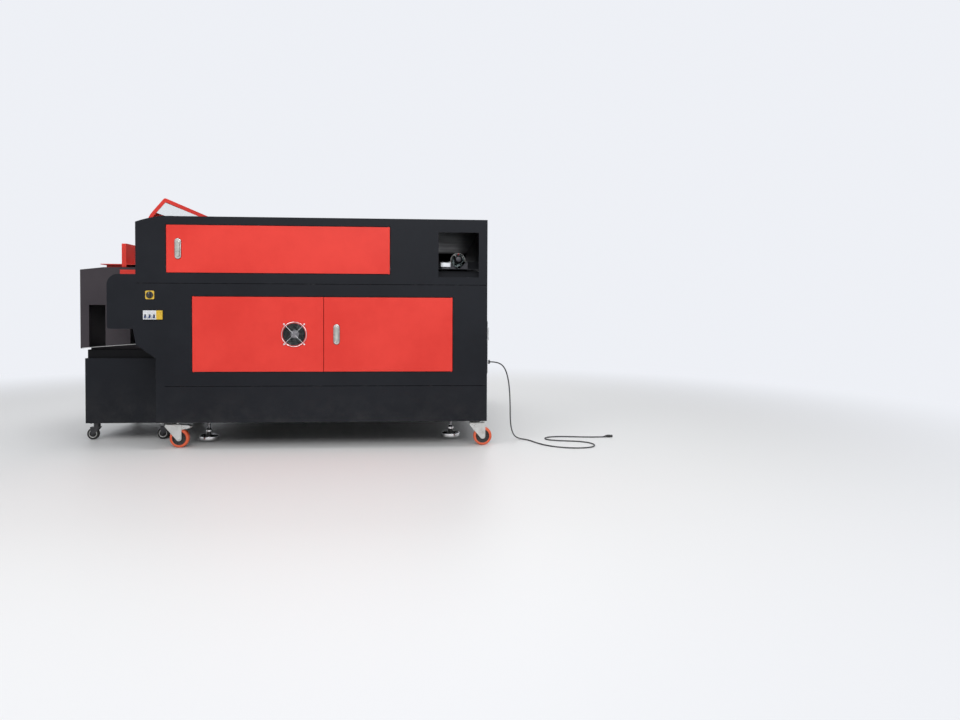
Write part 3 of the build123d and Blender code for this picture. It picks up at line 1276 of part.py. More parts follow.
def make_console_cabinet():
    """Sheet cabinet on casters with a recessed neck that carries the shelf."""
    body = block(CABINET_X, CONSOLE_Y, CABINET_Z)
    body = fillet(body.edges().filter_by(Axis.Z), CABINET_CORNER)
    neck_y = within(CONSOLE_Y, NECK_INSET)
    body += block(NECK_X, neck_y, (CABINET_Z[1] - SHEET / 2, NECK_TOP))
    body -= block(within(CABINET_X, SHEET), within(CONSOLE_Y, SHEET), within(CABINET_Z, SHEET))
    neck_z = (CABINET_Z[1] - SHEET - THROUGH, NECK_TOP - SHEET)
    body -= block(within(NECK_X, SHEET), within(neck_y, SHEET), neck_z)
    length, _, thick = CONSOLE_PLATE
    mount_z = CABINET_Z[0] - thick
    for at in console_casters():
        body += caster_plate(at, CONSOLE_PLATE, mount_z)
        body -= rod_z(at, (mount_z, CABINET_Z[0] + SHEET), length * KINGPIN_SHARE + 2 * RUNNING)
    return body


def shelf_height(x):
    """Height of the sloping shelf's upper face."""
    share = (x - CONSOLE_SHELF_X[0]) / (CONSOLE_SHELF_X[1] - CONSOLE_SHELF_X[0])
    return CONSOLE_SHELF_Z[0] + share * (CONSOLE_SHELF_Z[1] - CONSOLE_SHELF_Z[0])


def make_console_shelf():
    """Sloping sheet on three wedge brackets that stand on the neck."""
    low, high = CONSOLE_SHELF_X
    top = [(low, shelf_height(low)), (high, shelf_height(high))]
    under = [(x, z - SHELF_PLATE) for x, z in reversed(top)]
    shelf = prism(make_face(Polyline(*top, *under, close=True)), CONSOLE_Y)
    foot_x = within(NECK_X, CABINET_CORNER)
    foot = [(x, NECK_TOP) for x in foot_x]
    head = [(x, shelf_height(x) - SHELF_PLATE / 2) for x in reversed(foot_x)]
    wedge = make_face(Polyline(*foot, *head, close=True))
    near, far = within(CONSOLE_Y, SHELF_BRACKET_INSET)
    for y in (near, (near + far) / 2, far):
        shelf += prism(wedge, around(y, SHELF_BRACKET))
    return shelf


def make_console_hood():
    """Upright sheet housing on the shelf, open on both sides, with a cap that reaches over the nose."""
    low, high = HOOD_X
    start = CONSOLE_SHELF_X[0]
    skirt = shelf_height(start) - HOOD_SKIRT_DROP
    slope, drop = HOOD_SLOPE
    points = [
        (low, skirt), (low, HOOD_TOP - drop), (low + slope, HOOD_TOP), (HOOD_CAP_END, HOOD_TOP),
        (HOOD_CAP_END, HOOD_CAP_LOW), (high, HOOD_CAP_LOW), (high, shelf_height(high)),
        (start, shelf_height(start)), (start, skirt),
    ]
    body = prism(make_face(Polyline(*points, close=True)), CONSOLE_Y)
    front_edge = body.edges().filter_by(Axis.Y).group_by(Axis.X)[0].sort_by(Axis.Z)[-1]
    body = fillet(front_edge, HOOD_EDGE)
    inner_low, inner_high = within(HOOD_X, SHEET)
    inner = [
        (inner_low, shelf_height(inner_low) + SHEET), (inner_low, HOOD_TOP - drop - SHEET),
        (low + slope, HOOD_TOP - SHEET), (inner_high, HOOD_TOP - SHEET),
        (inner_high, shelf_height(inner_high) + SHEET),
    ]
    body -= prism(make_face(Polyline(*inner, close=True)), within(CONSOLE_Y, SHEET))
    under_cap = (HOOD_CAP_LOW - THROUGH, HOOD_TOP - SHEET)
    body -= block((high, HOOD_CAP_END - SHEET), within(CONSOLE_Y, SHEET), under_cap)
    return body - block(HOOD_OPEN_X, past(CONSOLE_Y), (CONSOLE_SHELF_Z[0] - THROUGH, HOOD_OPEN_TOP))


def make_control_box():
    """Upright panel box on the hood, the plate that reaches back over the nose and the apron on its side."""
    box = block(BOX_X, BOX_Y, (HOOD_TOP, BOX_TOP))
    box = fillet(box.edges().filter_by(Axis.X), BOX_CORNER)
    hollow_z = within((HOOD_TOP, BOX_TOP), SHEET)
    box -= block((BOX_X[0] - THROUGH, BOX_X[1] - SHEET), within(BOX_Y, SHEET), hollow_z)
    plate = block(TOP_PLATE_X, BOX_Y, TOP_PLATE)
    plate -= block(within(BOX_X, THROUGH), past(BOX_Y), TOP_PLATE)
    feet = Part()
    foot_x = (TOP_PLATE_X[0] + TOP_PLATE_FOOT, BOX_X[0] - TOP_PLATE_FOOT / 2)
    for y in within(BOX_Y, 2 * TOP_PLATE_FOOT):
        feet += block(foot_x, around(y, TOP_PLATE_FOOT), (HOOD_TOP, TOP_PLATE[0]))
    apron_z = (HOOD_CAP_LOW - APRON_HEIGHT, HOOD_CAP_LOW)
    apron = block(APRON_X, (CONSOLE_Y[0] - SHEET, CONSOLE_Y[0]), apron_z)
    return assembly([box + plate + feet, apron])


def make_control_panel():
    """Face plate of the control box with its screen's bezel and a keypad."""
    face = BOX_X[0]
    z = (TOP_PLATE[1], BOX_TOP - SHEET)
    panel = block((face, face + PANEL_THICK), within(BOX_Y, SHEET), z)
    screen_y = (BOX_Y[0] + SCREEN_INSET, BOX_Y[0] + SCREEN_INSET + SCREEN_WIDTH)
    screen_z = within(z, SCREEN_MARGIN)
    bezel_x = (face - BEZEL_PROUD, face + PANEL_FIT)
    panel += block(bezel_x, within(screen_y, -BEZEL), within(screen_z, -BEZEL))
    panel -= block((face - BEZEL_PROUD - THROUGH, face - BEZEL_PROUD + SCREEN_SUNK), screen_y, screen_z)
    width, height, proud = KEY
    for column in range(KEYS[0]):
        for row in range(KEYS[1]):
            at_y = BOX_Y[0] + KEYS_START + column * KEY_PITCH[0]
            at_z = sum(z) / 2 + (row - (KEYS[1] - 1) / 2) * KEY_PITCH[1]
            panel += block((face - proud, face + PANEL_FIT), around(at_y, width), around(at_z, height))
    return panel - rod_x(past((face, face + PANEL_THICK)), BUTTON_PLACE, BUTTON_STEM + 2 * RUNNING)


def make_stop_button():
    """Mushroom push button on its plunger."""
    back = BOX_X[0] - BUTTON_LIFT
    cap = rod_x((back, back - BUTTON_THICK), BUTTON_PLACE, BUTTON)
    cap = fillet(cap.faces().sort_by(Axis.X)[0].edges(), BUTTON_EDGE)
    stem_end = BOX_X[0] + PANEL_THICK + BUTTON_LIFT
    return cap + rod_x((back - BUTTON_EDGE, stem_end), BUTTON_PLACE, BUTTON_STEM)


def fitted_radii(points):
    """Bend radius at each inner point: 0.45 of the shorter run over the tangent of half the turn."""
    radii = []
    for before, point, after in zip(points, points[1:], points[2:]):
        arriving = Vector(*point) - Vector(*before)
        leaving = Vector(*after) - Vector(*point)
        turn = math.radians(arriving.get_angle(leaving))
        radii.append(0.45 * min(arriving.length, leaving.length) / math.tan(turn / 2))
    return radii


def make_cable():
    """Round cable along its straight runs and tangent arcs."""
    radii = fitted_radii(ROUTE)
    print("cable radii", [round(radius) for radius in radii])
    path = FilletPolyline(*ROUTE, radius=radii)
    section = Plane(origin=path @ 0, z_dir=path % 0) * Circle(CABLE / 2)
    tube = sweep(section, path=path)
    expected = math.pi * CABLE**2 / 4 * path.length
    print("cable length", round(path.length), "volume share", round(tube.volume / expected, 5))
    return tube


def make_cable_plug():
    """Round connector with a gripped collar and a tapered sleeve, lying at the cable's end."""
    end, before = Vector(*ROUTE[-1]), Vector(*ROUTE[-2])
    line = (end - before).normalized()
    start = Plane(origin=end, z_dir=line)
    barrel_start = end + line * PLUG_SLEEVE + Vector(0, 0, PLUG / 2 - CABLE / 2)
    barrel_plane = Plane(origin=barrel_start, z_dir=line)
    collar_plane = Plane(origin=barrel_start + line * PLUG_COLLAR / 2, z_dir=line)
    barrel = PLUG - 2 * PLUG_STEP
    plug = loft([start * Circle(CABLE / 2 + RUNNING), barrel_plane * Circle(barrel / 2 - PLUG_STEP)])
    plug += extrude(barrel_plane * Circle(barrel / 2), amount=PLUG_LENGTH - PLUG_SLEEVE)
    return plug + extrude(collar_plane * Circle(PLUG / 2), amount=PLUG_COLLAR)


def all_nodes():
    """Every node by name."""
    nodes = {
        "base_frame": make_base_frame(),
        "near_side_panel": make_near_side_panel(),
        "far_side_panel": make_far_side_panel(),
        "rear_panel": make_rear_panel(),
        "top_cover": make_top_cover(),
        "front_cover": make_front_cover(),
        "tube_shelf": make_tube_shelf(),
        "bed_frame": make_bed_frame(),
        "conveyor_belt": make_conveyor_belt(),
        "front_roller": make_roller(FRONT_ROLLER_X),
        "rear_roller": make_roller(REAR_ROLLER_X),
        "gantry_rails": make_gantry_rails(),
        "gantry_beam": make_gantry_beam(),
        "laser_head": make_laser_head(),
        "laser_tube": make_laser_tube(),
        "tube_mounts": make_tube_mounts(),
        "power_supply": make_power_supply(),
        "breaker_block": make_breaker_block(),
        "breaker_levers": make_breaker_levers(),
        "switch_plate": make_switch_plate(),
        "switch_knob": make_switch_knob(),
        "socket_plate": make_socket_plate(),
        "caster_plates": make_caster_plates(),
        "leveling_feet": make_leveling_feet(),
        "lid_shell": make_lid_shell(),
        "lid_window": make_lid_window(),
        "upper_door": make_upper_door(),
        "upper_lock": make_lock(UPPER_LOCK),
        "upper_lock_handle": make_lock_handle(UPPER_LOCK),
        "left_door": make_left_door(),
        "fan_frame": make_fan_frame(),
        "fan_guard": make_fan_guard(),
        "fan_rotor": make_fan_rotor(),
        "right_door": make_right_door(),
        "right_lock": make_lock(LOWER_LOCK),
        "right_lock_handle": make_lock_handle(LOWER_LOCK),
        "console_cabinet": make_console_cabinet(),
        "console_shelf": make_console_shelf(),
        "console_hood": make_console_hood(),
        "control_box": make_control_box(),
        "control_panel": make_control_panel(),
        "stop_button": make_stop_button(),
        "cable": make_cable(),
        "cable_plug": make_cable_plug(),
    }
    big = (CASTER_WHEEL, CASTER_TREAD, CASTER_TRAIL)
    mount_z = BOTTOM - CASTER_PLATE[2]
    for number, at in enumerate(machine_casters(), 1):
        nodes[f"caster_fork_{number}"] = caster_fork(at, *big, CASTER_PLATE, mount_z)
        nodes[f"caster_wheel_{number}"] = caster_wheel(at, *big)
    small = (CONSOLE_WHEEL, CONSOLE_TREAD, CONSOLE_TRAIL)
    mount_z = CABINET_Z[0] - CONSOLE_PLATE[2]
    for number, at in enumerate(console_casters(), 1):
        nodes[f"console_fork_{number}"] = caster_fork(at, *small, CONSOLE_PLATE, mount_z)
        nodes[f"console_wheel_{number}"] = caster_wheel(at, *small)
    return nodes


os.makedirs("parts", exist_ok=True)
for name, shape in all_nodes().items():
    export_step(Pos(*ORIGIN) * shape, f"parts/{name}.step")
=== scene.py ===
"""Looks of the conveyor laser cutter: camera, cable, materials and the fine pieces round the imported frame."""

import math

import bmesh
import bpy
import numpy as np
from mathutils import Matrix, Vector


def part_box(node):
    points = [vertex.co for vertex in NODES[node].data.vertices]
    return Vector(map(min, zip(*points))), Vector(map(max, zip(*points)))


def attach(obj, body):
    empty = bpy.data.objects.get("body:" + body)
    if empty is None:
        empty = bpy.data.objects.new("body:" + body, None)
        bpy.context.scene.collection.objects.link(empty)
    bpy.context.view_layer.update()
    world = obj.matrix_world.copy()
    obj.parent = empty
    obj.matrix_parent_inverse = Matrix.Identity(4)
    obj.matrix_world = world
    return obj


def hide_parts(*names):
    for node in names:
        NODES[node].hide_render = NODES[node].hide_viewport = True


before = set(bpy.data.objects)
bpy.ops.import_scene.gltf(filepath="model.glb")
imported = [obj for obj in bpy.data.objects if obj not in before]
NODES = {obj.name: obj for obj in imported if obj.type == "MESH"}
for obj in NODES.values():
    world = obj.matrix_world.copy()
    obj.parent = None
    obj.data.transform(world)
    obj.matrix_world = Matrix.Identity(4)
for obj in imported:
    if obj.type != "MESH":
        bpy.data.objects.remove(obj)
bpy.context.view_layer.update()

# Camera: where the photograph was taken from
EYE = Vector((0.7855, -5.0311, 0.725))
YAW_RIGHT = math.radians(4.039)
PITCH_DOWN = math.radians(1.291)
ROLL = math.radians(0.229)
FOCAL_PIXELS = 730.0
AXIS_ABOVE_CENTRE = 32.16
PICTURE_WIDTH = 960.0
SENSOR = 36.0

# Cable: its fall from the gland, then its turns on the floor up to the plug
CABLE = 0.007
FLOOR_LINE = 0.0036
NEAR_SHIFT = Vector((-0.7185, 0.0075, 0.0))
CABLE_FALL = [
    (1.842, -1.045, 0.448), (1.880, -1.045, 0.448), (1.920, -1.043, 0.424), (1.942, -1.038, 0.366),
    (1.953, -1.028, 0.290), (1.958, -1.012, 0.210), (1.961, -0.990, 0.136), (1.967, -0.968, 0.084),
    (1.978, -0.950, 0.042), (1.998, -0.939, 0.014),
]
CABLE_LIE = [
    (2.028, -0.940), (2.056, -0.964), (2.078, -1.010), (2.100, -1.070), (2.130, -1.136),
    (2.196, -1.204), (2.282, -1.236), (2.366, -1.222), (2.408, -1.160), (2.398, -1.084),
    (2.342, -1.032), (2.262, -1.016), (2.196, -0.994), (2.162, -0.952), (2.174, -0.904),
    (2.220, -0.878), (2.288, -0.874), (2.366, -0.892), (2.444, -0.902), (2.512, -0.898),
]
CABLE_ROUTE = CABLE_FALL + [(x, y, FLOOR_LINE) for x, y in CABLE_LIE]

# Sizes that the fine pieces share with the solids that they stand for
FORK_OUT = 0.0198
SMALL_FORK_OUT = 0.0146
FOOT_GAPS = (0.012, 0.020)
GUARD_SCREWS = 0.0742
HANDLE_RADIUS = 0.0100
HANDLE_STRAIGHT = 0.0640
MOUNT_PLACES = [NEAR_SHIFT.y + y for y in (-0.880, -0.300, 0.300, 0.880)]
BREAKER_POLES = 0.066
BREAKER_WIDTH = 0.096
BREAKER_POLE = 0.022
LEVER_HALF = 0.0048
SIDE_FACE = 1.165
REAR_END = 1.816
SEAM_LINES = ((0.144, 0.330), (0.004, 0.864))
SEAM_HALF = 0.0015
SEAM_DEEP = 0.0008
CABINET_TOP = 0.457
CASTER_TRAIL = 0.042
CASTER_MOUNT = 0.135
FORK_IN = 0.0168
FORK_TOP = 0.122
SHELF_EDGE = (0.516, 0.544)
TUBE_SHELF_Z = 0.950
MIRROR_BLOCK = ((0.849, 0.903), (-1.100, -1.050), (0.962, 0.987))
BUTTON_PROUD = 0.0170


def add_camera():
    """Camera at the photographer's eye, turned by yaw, pitch and roll."""
    data = bpy.data.cameras.new("photo_camera")
    data.sensor_width = SENSOR
    data.lens = FOCAL_PIXELS / PICTURE_WIDTH * SENSOR
    data.shift_y = -AXIS_ABOVE_CENTRE / PICTURE_WIDTH
    camera = bpy.data.objects.new("photo_camera", data)
    turn = (
        Matrix.Rotation(-YAW_RIGHT, 4, "Z")
        @ Matrix.Rotation(math.pi / 2 - PITCH_DOWN, 4, "X")
        @ Matrix.Rotation(ROLL, 4, "Z")
    )
    camera.matrix_world = Matrix.Translation(EYE) @ turn
    bpy.context.scene.collection.objects.link(camera)
    bpy.context.scene.camera = camera


def add_cable():
    """Power cable as one smooth spline through its route's control points."""
    curve = bpy.data.curves.new("cable_run", "CURVE")
    curve.dimensions = "3D"
    curve.bevel_depth = 1.0
    curve.bevel_resolution = 5
    curve.use_fill_caps = True
    curve.resolution_u = 10
    spline = curve.splines.new("NURBS")
    spline.points.add(len(CABLE_ROUTE) - 1)
    for point, place in zip(spline.points, CABLE_ROUTE):
        point.co = (*(Vector(place) + NEAR_SHIFT), 1.0)
        point.radius = CABLE / 2
    spline.order_u = 3
    spline.use_endpoint_u = True
    cable = bpy.data.objects.new("cable_run", curve)
    bpy.context.scene.collection.objects.link(cable)
    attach(cable, "machine")
    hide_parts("cable")
    return cable


add_camera()
CABLE_PIECE = add_cable()


# Node trees


class Wiring:
    """Short hand for adding and linking the nodes of one tree."""

    def __init__(self, tree):
        self.tree = tree

    def put(self, node, **sockets):
        """Sets or links inputs by name, or by number after a low line; a colour is opaque."""
        for name, value in sockets.items():
            name = name.replace("_", " ").strip()
            socket = node.inputs[int(name) if name.isdigit() else name]
            if isinstance(value, bpy.types.NodeSocket):
                self.tree.links.new(value, socket)
            else:
                socket.default_value = (*value, 1.0) if isinstance(value, tuple) else value
        return node

    def add(self, kind, settings=None, **sockets):
        """A node with its settings and its inputs."""
        node = self.tree.nodes.new(kind)
        for name, value in (settings or {}).items():
            setattr(node, name, value)
        return self.put(node, **sockets)

    def group(self, tree, **values):
        """Outputs of one placed group with its own values."""
        return self.add("ShaderNodeGroup", {"node_tree": tree}, **values).outputs

    def place(self, axis=None):
        """Place on the object, or one of its coordinates."""
        place = self.add("ShaderNodeTexCoord").outputs["Object"]
        return place if axis is None else self.add("ShaderNodeSeparateXYZ", None, Vector=place).outputs[axis]

    def maths(self, operation, first, *others):
        """Result of one arithmetic step, taken again for each further value."""
        for other in others or (0.0,):
            first = self.add("ShaderNodeMath", {"operation": operation}, _0=first, _1=other).outputs[0]
        return first

    def spread(self, value, low, high, to_low=0.0, to_high=1.0):
        """A value mapped smoothly and clamped from one range to another."""
        return self.add(
            "ShaderNodeMapRange", {"interpolation_type": "SMOOTHSTEP"},
            Value=value, From_Min=low, From_Max=high, To_Min=to_low, To_Max=to_high,
        ).outputs["Result"]

    def noise(self, where, scale, detail, roughness):
        """Noise value at a place."""
        return self.add(
            "ShaderNodeTexNoise", None, Vector=where, Scale=scale, Detail=detail, Roughness=roughness
        ).outputs["Fac"]

    def blend(self, factor, first, second):
        """Mix of two colours."""
        return self.add("ShaderNodeMix", {"data_type": "RGBA"}, _0=factor, _6=first, _7=second).outputs[2]

    def dust(self, colour, amount, reach):
        """Colour under settled dust, and the dust's mask."""
        mask = self.group(SETTLED_DUST, Amount=amount, Reach=reach)["Mask"]
        return self.blend(mask, colour, DUST_TONE), mask

    def relief(self, shader, height, strength, distance, radius):
        """Fine relief on the shader's normal, over edges that are softened in the shading."""
        soft = self.add("ShaderNodeBevel", {"samples": 4}, Radius=radius).outputs["Normal"]
        inputs = {"Strength": strength, "Distance": distance, "Height": height, "Normal": soft}
        self.put(shader, Normal=self.add("ShaderNodeBump", None, **inputs).outputs["Normal"])


def new_group(name, inputs, outputs):
    """Empty shader group with float inputs and defaults, and its inner ends."""
    tree = bpy.data.node_groups.new(name, "ShaderNodeTree")
    for label, default in inputs.items():
        socket = tree.interface.new_socket(label, in_out="INPUT", socket_type="NodeSocketFloat")
        socket.default_value = default
    for label in outputs:
        tree.interface.new_socket(label, in_out="OUTPUT", socket_type="NodeSocketFloat")
    wiring = Wiring(tree)
    return wiring, wiring.add("NodeGroupInput").outputs, wiring.add("NodeGroupOutput")


def edge_wear_group():
    """Mask of rubbed edges: where the rounded normal leaves the face's normal, broken up by noise."""
    w, given, end = new_group("edge_wear", {"Radius": 0.002, "Amount": 0.5, "Scale": 60.0}, ["Mask"])
    rounded = w.add("ShaderNodeBevel", {"samples": 6}, Radius=given["Radius"]).outputs["Normal"]
    flat = w.add("ShaderNodeNewGeometry").outputs["Normal"]
    dot = w.add("ShaderNodeVectorMath", {"operation": "DOT_PRODUCT"}, _0=rounded, _1=flat).outputs["Value"]
    edge = w.spread(w.maths("SUBTRACT", 1.0, dot), 0.02, 0.22)
    broken = w.spread(w.noise(w.place(), given["Scale"], 4.0, 0.65), 0.45, 0.72)
    w.put(end, Mask=w.maths("MULTIPLY", edge, broken, given["Amount"]))
    return w.tree


def grain_group():
    """Fine orange-peel height with a slow mottle of the same finish."""
    w, given, end = new_group("coat_grain", {"Scale": 900.0, "Mottle Scale": 6.0}, ["Height", "Mottle"])
    fine = w.noise(w.place(), given["Scale"], 2.0, 0.6)
    coarse = w.noise(w.place(), w.maths("MULTIPLY", given["Scale"], 0.31), 1.0, 0.5)
    height = w.maths("ADD", w.maths("MULTIPLY", fine, 0.65), w.maths("MULTIPLY", coarse, 0.35))
    w.put(end, Height=height, Mottle=w.noise(w.place(), given["Mottle Scale"], 5.0, 0.62))
    return w.tree


def dust_group():
    """Dust that settles on upper faces and splashes up from the floor."""
    w, given, end = new_group("settled_dust", {"Amount": 0.5, "Reach": 0.35}, ["Mask"])
    normal = w.add("ShaderNodeNewGeometry").outputs["Normal"]
    facing = w.spread(w.add("ShaderNodeSeparateXYZ", None, Vector=normal).outputs["Z"], 0.35, 0.98)
    splash = w.spread(w.maths("DIVIDE", w.place("Z"), given["Reach"]), 1.0, 0.0)
    cloud = w.spread(w.noise(w.place(), 9.0, 6.0, 0.7), 0.35, 0.75)
    specks = w.spread(w.noise(w.place(), 420.0, 2.0, 0.6), 0.5, 0.72)
    texture = w.maths("ADD", w.maths("MULTIPLY", cloud, 0.6), w.maths("MULTIPLY", specks, 0.4))
    both = w.maths("MAXIMUM", w.maths("MULTIPLY", facing, 0.55), splash)
    w.put(end, Mask=w.maths("MULTIPLY", both, texture, given["Amount"]))
    return w.tree


def streak_group():
    """Height of a finish drawn out along one axis: turned, ground or brushed metal."""
    w, given, end = new_group("drawn_streaks", {"Along X": 4.0, "Along Y": 4.0, "Along Z": 300.0}, ["Height"])
    stretch = w.add("ShaderNodeCombineXYZ", None, X=given["Along X"], Y=given["Along Y"], Z=given["Along Z"])
    scaled = w.add("ShaderNodeVectorMath", {"operation": "MULTIPLY"}, _0=w.place(), _1=stretch.outputs[0])
    w.put(end, Height=w.noise(scaled.outputs[0], 1.0, 4.0, 0.7))
    return w.tree


EDGE_WEAR = edge_wear_group()
COAT_GRAIN = grain_group()
SETTLED_DUST = dust_group()
DRAWN_STREAKS = streak_group()
DUST_TONE = (0.32, 0.30, 0.27)
RUBBED_TONE = (0.35, 0.35, 0.36)
# Near-black of painted shade: used on the cabinet's recessed neck and on the seam strips in the side grooves.
PAINTED_SHADE_BLACK = (0.0015, 0.0016, 0.0024)
MATERIALS = {}


def start_material(name):
    """Fresh material, kept by its name: its wiring and its Principled shader."""
    material = bpy.data.materials.new(name)
    material.use_nodes = True
    MATERIALS[name] = material
    return Wiring(material.node_tree), material.node_tree.nodes["Principled BSDF"]


def powder_coat(
    name, tone, light, roughness, grain, peel, dust, wear=0.35, gloss=0.14, coat=0.0, painted_shade_above=None
):
    """Powder-coated sheet: orange peel, mottle, rubbed edges and dust, with painted shade above a level: deep
    black there stands in for shade.
    """
    w, shader = start_material(name)
    texture = w.group(COAT_GRAIN, Scale=grain, Mottle_Scale=3.2)
    mottle = w.spread(texture["Mottle"], 0.3, 0.7)
    worn = w.group(EDGE_WEAR, Radius=0.0022, Amount=wear, Scale=34.0)["Mask"]
    colour, dusty = w.dust(w.blend(worn, w.blend(mottle, tone, light), RUBBED_TONE), dust, 0.4)
    # Painted shade: above the given level the coat turns deep black, standing in for shade in a recess.
    if painted_shade_above is not None:
        colour = w.blend(w.spread(w.place("Z"), painted_shade_above, painted_shade_above + 0.002), colour, PAINTED_SHADE_BLACK)
    smear = w.maths("MULTIPLY", w.maths("SUBTRACT", mottle, 0.5), 0.12)
    rough = w.maths("ADD", smear, roughness, w.maths("MULTIPLY", dusty, 0.3))
    w.put(shader, Base_Color=colour, Roughness=rough, Specular_IOR_Level=gloss)
    w.put(shader, Coat_Weight=coat, Coat_Roughness=0.18)
    w.relief(shader, texture["Height"], peel, 0.0004, 0.0012)


def plated_metal(name, tone, light, roughness, streaks, depth=0.06, metallic=1.0):
    """Plated or bare metal: drawn streaks, cloudy reflection and a little dust."""
    w, shader = start_material(name)
    drawn = w.group(DRAWN_STREAKS, Along_X=streaks[0], Along_Y=streaks[1], Along_Z=streaks[2])
    cloud = w.spread(w.noise(w.place(), 24.0, 4.0, 0.6), 0.3, 0.7)
    colour, dusty = w.dust(w.blend(cloud, tone, light), 0.2, 0.12)
    varied = w.maths("MULTIPLY", w.maths("SUBTRACT", cloud, 0.5), roughness * 0.5)
    rough = w.maths("ADD", varied, roughness, w.maths("MULTIPLY", dusty, 0.3))
    w.put(shader, Base_Color=colour, Metallic=metallic, Roughness=rough)
    w.relief(shader, drawn["Height"], depth, 0.0003, 0.0007)


def moulded(name, tone, light, roughness, grain=1400.0, peel=0.12, dust=0.2, coat=0.0, gloss=0.5):
    """Moulded plastic or rubber: fine spark grain, soft edges, dust."""
    w, shader = start_material(name)
    texture = w.group(COAT_GRAIN, Scale=grain, Mottle_Scale=18.0)
    mottle = w.spread(texture["Mottle"], 0.3, 0.7)
    colour = w.dust(w.blend(mottle, tone, light), dust, 0.15)[0]
    rough = w.maths("ADD", w.maths("MULTIPLY", mottle, 0.08), roughness)
    w.put(shader, Base_Color=colour, Roughness=rough, Specular_IOR_Level=gloss, Coat_Weight=coat)
    w.relief(shader, texture["Height"], peel, 0.0003, 0.0006)


def clear_sheet(name, tone):
    """Clear glass or acrylic with faint smears."""
    w, shader = start_material(name)
    smear = w.spread(w.noise(w.place(), 7.0, 5.0, 0.7), 0.45, 0.8)
    rough = w.maths("ADD", w.maths("MULTIPLY", smear, 0.12), 0.02)
    w.put(shader, Base_Color=tone, Roughness=rough, Transmission_Weight=1.0, IOR=1.1)


def belt_weave():
    """Woven conveyor mesh: two crossing waves as height, darker in the pits as painted shade, with settled
    dust.
    """
    w, shader = start_material("conveyor_mesh")
    waves = []
    for direction in ("X", "Y"):
        settings = {"wave_type": "BANDS", "bands_direction": direction, "wave_profile": "SIN"}
        wave = w.add("ShaderNodeTexWave", settings, Vector=w.place(), Scale=42.0, Distortion=0.0)
        waves.append(wave.outputs["Fac"])
    height = w.maths("MAXIMUM", *waves)
    # Painted shade: the colour darkens towards the low parts of the weave, standing in for the shade in its
    # hollows.
    colour = w.blend(w.spread(height, 0.75, 0.3), (0.055, 0.055, 0.055), (0.012, 0.012, 0.012))
    bump = w.add("ShaderNodeBump", None, Strength=0.7, Distance=0.0015, Height=height)
    w.put(shader, Base_Color=w.dust(colour, 0.5, 0.1)[0], Roughness=0.72, Normal=bump.outputs["Normal"])


def breaker_plastic():
    """White breaker moulding whose outer module is yellow."""
    w, shader = start_material("breaker_moulding")
    low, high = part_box("breaker_block")
    joint = low.x + (high.x - low.x) * BREAKER_POLES / BREAKER_WIDTH
    mottle = w.spread(w.noise(w.place(), 60.0, 3.0, 0.6), 0.3, 0.7)
    white = w.blend(mottle, (0.60, 0.61, 0.63), (0.70, 0.71, 0.73))
    colour = w.blend(w.maths("GREATER_THAN", w.place("X"), joint), white, (0.66, 0.42, 0.03))
    rough = w.maths("ADD", w.maths("MULTIPLY", mottle, 0.1), 0.34)
    w.put(shader, Base_Color=w.dust(colour, 0.3, 0.1)[0], Roughness=rough)


def lever_plastic():
    """Blue lever at the middle of each pole, white on the tie between them."""
    w, shader = start_material("lever_moulding")
    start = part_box("breaker_block")[0].x
    pole = w.maths("FRACT", w.maths("DIVIDE", w.maths("SUBTRACT", w.place("X"), start), BREAKER_POLE))
    off_middle = w.maths("ABSOLUTE", w.maths("SUBTRACT", pole, 0.5))
    mottle = w.spread(w.noise(w.place(), 60.0, 3.0, 0.6), 0.3, 0.7)
    lever = w.blend(mottle, (0.02, 0.045, 0.16), (0.03, 0.06, 0.2))
    tie = w.blend(mottle, (0.50, 0.51, 0.53), (0.60, 0.61, 0.63))
    colour = w.blend(w.maths("LESS_THAN", off_middle, LEVER_HALF / BREAKER_POLE), tie, lever)
    w.put(shader, Base_Color=colour, Roughness=w.maths("ADD", w.maths("MULTIPLY", mottle, 0.1), 0.3))


# Tones and finishes that several materials share
BLACK, BLACK_LIGHT = (0.0080, 0.0090, 0.0122), (0.0112, 0.0126, 0.0165)
FINE_COAT = (0.5, 700.0, 0.35, 0.09)
EVEN_STREAKS = (9.0, 9.0, 9.0)
DRAWN_ALONG_Y = (300.0, 6.0, 300.0)

powder_coat("black_coat", BLACK, BLACK_LIGHT, *FINE_COAT)
# Painted shade: the cabinet's neck above its top, recessed under the shelf, is coloured deep black for its
# shade.
powder_coat("cabinet_coat_neck_shade", BLACK, BLACK_LIGHT, *FINE_COAT, painted_shade_above=CABINET_TOP - 0.001)
powder_coat("hood_coat", (0.048, 0.041, 0.047), (0.059, 0.051, 0.057), *FINE_COAT)
powder_coat(
    "red_coat", (0.68, 0.039, 0.028), (0.75, 0.050, 0.036), 0.4, 500.0, 0.16, 0.06,
    wear=0.2, gloss=0.2, coat=0.03,
)
powder_coat("grey_paint", (0.22, 0.23, 0.24), (0.27, 0.28, 0.29), 0.45, 600.0, 0.2, 0.35)
powder_coat("white_paint", (0.62, 0.63, 0.64), (0.70, 0.71, 0.72), 0.38, 600.0, 0.15, 0.2)
plated_metal("zinc", (0.52, 0.52, 0.50), (0.64, 0.64, 0.62), 0.34, (60.0, 60.0, 60.0))
plated_metal("chrome", (0.66, 0.66, 0.67), (0.74, 0.74, 0.75), 0.14, EVEN_STREAKS, 0.03)
plated_metal("lock_chrome", (0.52, 0.51, 0.49), (0.60, 0.59, 0.57), 0.27, (9.0, 9.0, 40.0), 0.03)
plated_metal("nickel", (0.44, 0.45, 0.41), (0.52, 0.53, 0.49), 0.33, (300.0, 300.0, 12.0))
plated_metal("ring_chrome", (0.13, 0.14, 0.14), (0.18, 0.19, 0.19), 0.3, EVEN_STREAKS, 0.03)
